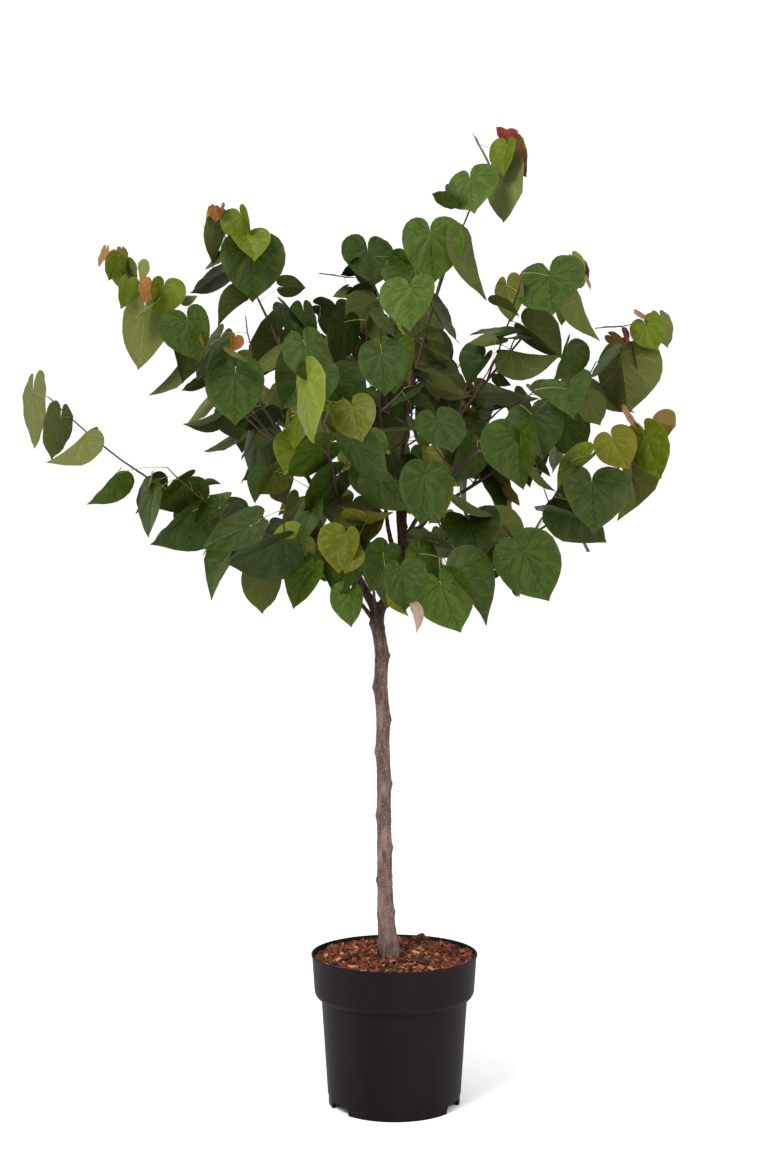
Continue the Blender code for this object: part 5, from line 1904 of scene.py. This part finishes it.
def turn_to_photo(grown_leaves):
    """The listed leaves in their places, and those of the rule's that stay beside them."""
    wood = wood_points()
    tree = tree_of([point for point, _ in wood])
    left = list(grown_leaves)
    plain = []
    dice = random.Random(77)
    depths = depths_of_plain_leaves(grown_leaves)
    for number, (row, depth) in enumerate(zip(plain_leaves, depths)):
        kind = dice.randrange(len(LEAF_KINDS))
        notch, axis, normal, length = fitted(row, depth, 1 - 2 * (number % 2), leaf_kinds[kind])
        near = tree.find_n(notch, WOODS_TRIED)
        found = [item for item in near if item[2] > SHORTEST_STALK] or [tree.find(notch)]
        root, mass = wood[found[0][1]]
        young = row.width < YOUNG_WIDTH and row.tone in ("red", "copper", "bronze")
        share = 0.95 if young else 0.5
        plain.append(Leaf(root, notch, axis, normal, length, share, mass, row.tone, kind))
        nearest = min(left, key=lambda leaf: (middle_of(leaf) - middle_of(plain[-1])).length)
        if (middle_of(nearest) - middle_of(plain[-1])).length < REPLACE_WITHIN:
            left.remove(nearest)
    kept = []
    for leaf in left:
        spot, depth = in_photo(middle_of(leaf)), middle_of(leaf).y
        scale = FOCAL_PIXELS / (depth - CAMERA_PLACE[1])
        hides = any((spot - in_photo(middle_of(other))).length
                    < MOST_HIDING * other.length * BLADE_WIDTH * scale
                    and depth < middle_of(other).y + SAME_DEPTH for other in plain)
        if not hides and not shows_in_sky(leaf):
            kept.append(leaf)
    print("turned:", len(plain), "kept of the rule's:", len(kept), "of", len(grown_leaves))
    return plain + kept


leaves = turn_to_photo(leaves)


# %% Cut back the bare ends
# how near a stalk's root counts as on the limb, and how far a limb runs on past its last leaf
ON_TWIG = 0.007
PAST_LEAF = 0.04
LOOKS_ALONG = 40
CUT_STEPS = 12


def cut_back(limb, roots):
    """The limb up to its last leaf, or None where nothing grows on it."""
    last = 0.0
    for index in range(1, LOOKS_ALONG + 1):
        point, _ = limb.at(index / LOOKS_ALONG)
        if roots.find(point)[2] < ON_TWIG:
            last = index / LOOKS_ALONG
    if last == 0.0:
        return None
    last = min(1.0, last + PAST_LEAF)
    spots = [limb.at(last * index / CUT_STEPS) for index in range(CUT_STEPS + 1)]
    return Limb(limb.name, [point for point, _ in spots], [radius for _, radius in spots], limb.sides)


roots = [leaf.root for leaf in leaves]
for grown in (spurs_of, twigs_of, stems):
    tree = tree_of(roots)
    for row in MASSES:
        if grown is stems:
            grown[row.name] = cut_back(grown[row.name], tree) or grown[row.name]
            continue
        grown[row.name] = [twig for twig in (cut_back(twig, tree) for twig in grown[row.name]) if twig]
        roots += [twig.path[0] for twig in grown[row.name]]
print("twigs and spurs kept:", sum(len(t) for t in twigs_of.values()),
      sum(len(t) for t in spurs_of.values()))

# %% [markdown]
# ## Hanging up the leaves
# Each leaf takes one of the six kinds, turned to its place in the crown. Some are turned over,
# as the photo shows many pale undersides at the crown's edges. They are joined by region, so
# that no piece is too large. A listed leaf hangs just as it was fitted, and the others sway.

# %% Join the blades by region
REGIONS = {
    "left": ("left", "far_left", "low_left", "upper_left", "mid_left"),
    "middle": ("front", "centre", "inner", "front_low", "top", "top_left"),
    "right": ("right", "upper_right", "mid_right", "low_right", "front_right"),
    "back": ("back", "back_left", "back_right", "low_back_left", "low_back_right"),
}
# how far a blade turns from its solid's, in degrees, and its size and width beside it
YAW = 13.0
PITCH = 9.0
ROLL = 16.0
BLADE_SHARE = (0.70, 0.95)
WIDTH_SHARE = (0.92, 1.12)
OVER_SHARE = 0.10
RIM_ANGLE = 60.0


def hung(leaf, shape, over, dice):
    """The blade's points in the crown; a leaf that is over shows its underside."""
    side = leaf.axis.cross(leaf.normal)
    if leaf.tone:
        turned = np.array([side[:], leaf.axis[:], leaf.normal[:]])
        return np.array(leaf.notch[:]) + shape.points * leaf.length @ turned
    turn = Quaternion(leaf.normal, math.radians(dice.gauss(0.0, YAW)))
    turn @= Quaternion(side, math.radians(dice.gauss(0.0, PITCH)))
    turn @= Quaternion(leaf.axis, math.radians(dice.gauss(0.0, ROLL)))
    axis = turn @ leaf.axis
    normal = turn @ leaf.normal * (-1.0 if over else 1.0)
    side = axis.cross(normal)
    turned = np.array([side[:], axis[:], normal[:]])
    size = leaf.length * dice.uniform(*BLADE_SHARE)
    width = dice.uniform(*WIDTH_SHARE)
    return np.array(leaf.notch[:]) + (shape.points * (width, 1.0, 1.0) * size) @ turned


def join_region(region, names):
    dice = random.Random("hang " + region)
    pile = Pile()
    for leaf in leaves:
        if leaf.row.name not in names:
            continue
        kinds = small_kinds if leaf.length < SMALL_LEAF else leaf_kinds
        shape = dice.choice(kinds) if leaf.kind is None else kinds[leaf.kind]
        over = dice.random() < TURNED_OVER.get(leaf.row.name, OVER_SHARE)
        tone = TONE_NAMES.index(leaf.tone or tone_of(leaf, dice))
        pile.add(shape, hung(leaf, shape, over, dice), tone * len(PARTS_OF_LEAF))
    mesh = pile.mesh("blades_" + region, RIM_ANGLE)
    finished("blades_" + region, mesh, looks_of_leaves, names)


for region, names in REGIONS.items():
    join_region(region, ["leaves_" + name for name in names])

# %% [markdown]
# ## Twigs and stalks
# The shoots are thin, red-brown and bent a little at each leaf. A leaf's stalk is finer still,
# yellowish green, arched, and swollen at both ends. Both are unit tubes bent along their paths
# and joined, each kind in its own piece.


# %% Bend the twigs and the stalks
# step between bends, swing of a bend, and sides of the tube
STEM_BENDS = (0.032, 0.0013, 8)
TWIG_BENDS = (0.030, 0.0011, 7)
SPUR_BENDS = (0.016, 0.0006, 6)
LONG_SPUR = 0.06
TWIG_FINER = 0.42
TWIG_NODES = (0.96, 1.12)
STALK_ARCH = 0.10
STALK_INTO_BLADE = 0.012
STALK_SIDES = 5
STALK_SHARES = (0.0, 0.12, 0.32, 0.55, 0.78, 0.92, 1.0)
STALK_RADII = (0.00125, 0.00085, 0.00068, 0.00064, 0.00068, 0.00088, 0.00110)
FULL_STALK_LEAF = 0.080
THINNEST_STALK = 0.45


def zigzagged(limb, step, swing):
    """The limb's path with a small bend at each leaf, and its radii drawn finer to the tip."""
    count = max(4, round(limb.length() / step))
    path = []
    radii = []
    for index in range(count + 1):
        share = index / count
        point, radius = limb.at(share)
        ahead = (limb.at(share + 0.02)[0] - limb.at(share - 0.02)[0]).normalized()
        across = ahead.cross(UP)
        across = across.normalized() if across.length > 0.2 else Vector((1.0, 0.0, 0.0))
        swung = swing * min(1.0, 8.0 * share, 8.0 * (1.0 - share))
        path.append(point + across * (swung if index % 2 else -swung))
        radii.append(radius * (1.0 - TWIG_FINER * share) * TWIG_NODES[index % 2])
    return path, radii


def stalk_path(leaf):
    """An arched stalk from the twig to the notch, a little inside both."""
    chord = leaf.notch - leaf.root
    crown = leaf.root + 0.5 * chord + UP * (STALK_ARCH * chord.length)
    end = leaf.notch + leaf.axis * (STALK_INTO_BLADE * leaf.length)
    return [leaf.root * (1 - t) ** 2 + crown * (2 * t * (1 - t)) + end * t * t
            for t in STALK_SHARES]


TWIG_TONES = {"twig_old": paint(56, 36, 31), "twig_red": paint(80, 52, 42),
              "twig_young": paint(100, 86, 50)}
STALK_TONES = {"stalk_green": paint(122, 124, 62), "stalk_yellow": paint(158, 146, 78),
               "stalk_red": paint(138, 84, 56)}


def join_twigs():
    pile = Pile()

    def bend(twig, bends, tone):
        step, swing, sides = bends
        pile.add(*bent_tube(*zigzagged(twig, step, swing), sides), tone)

    for row in MASSES:
        bend(stems[row.name], STEM_BENDS, 0)
        for twig in twigs_of[row.name]:
            bend(twig, TWIG_BENDS, 1)
        for twig in spurs_of[row.name]:
            bend(twig, SPUR_BENDS, 1 if twig.length() > LONG_SPUR else 2)
    return pile.mesh("twigs")


def join_stalks():
    dice = random.Random(31)
    pile = Pile()
    for leaf in leaves:
        size = max(THINNEST_STALK, min(1.0, leaf.length / FULL_STALK_LEAF))
        tone = 2 if leaf.share > 0.9 else dice.choice((0, 0, 1))
        radii = [radius * size for radius in STALK_RADII]
        pile.add(*bent_tube(stalk_path(leaf), radii, STALK_SIDES), tone)
    return pile.mesh("leaf_stalks")


twig_looks = [Look(name, colour, 0.62, 0.3) for name, colour in TWIG_TONES.items()]
stalk_looks = [Look(name, colour, 0.5, 0.3) for name, colour in STALK_TONES.items()]
finished("twigs", join_twigs(), twig_looks)
finished("leaf_stalks", join_stalks(), stalk_looks)
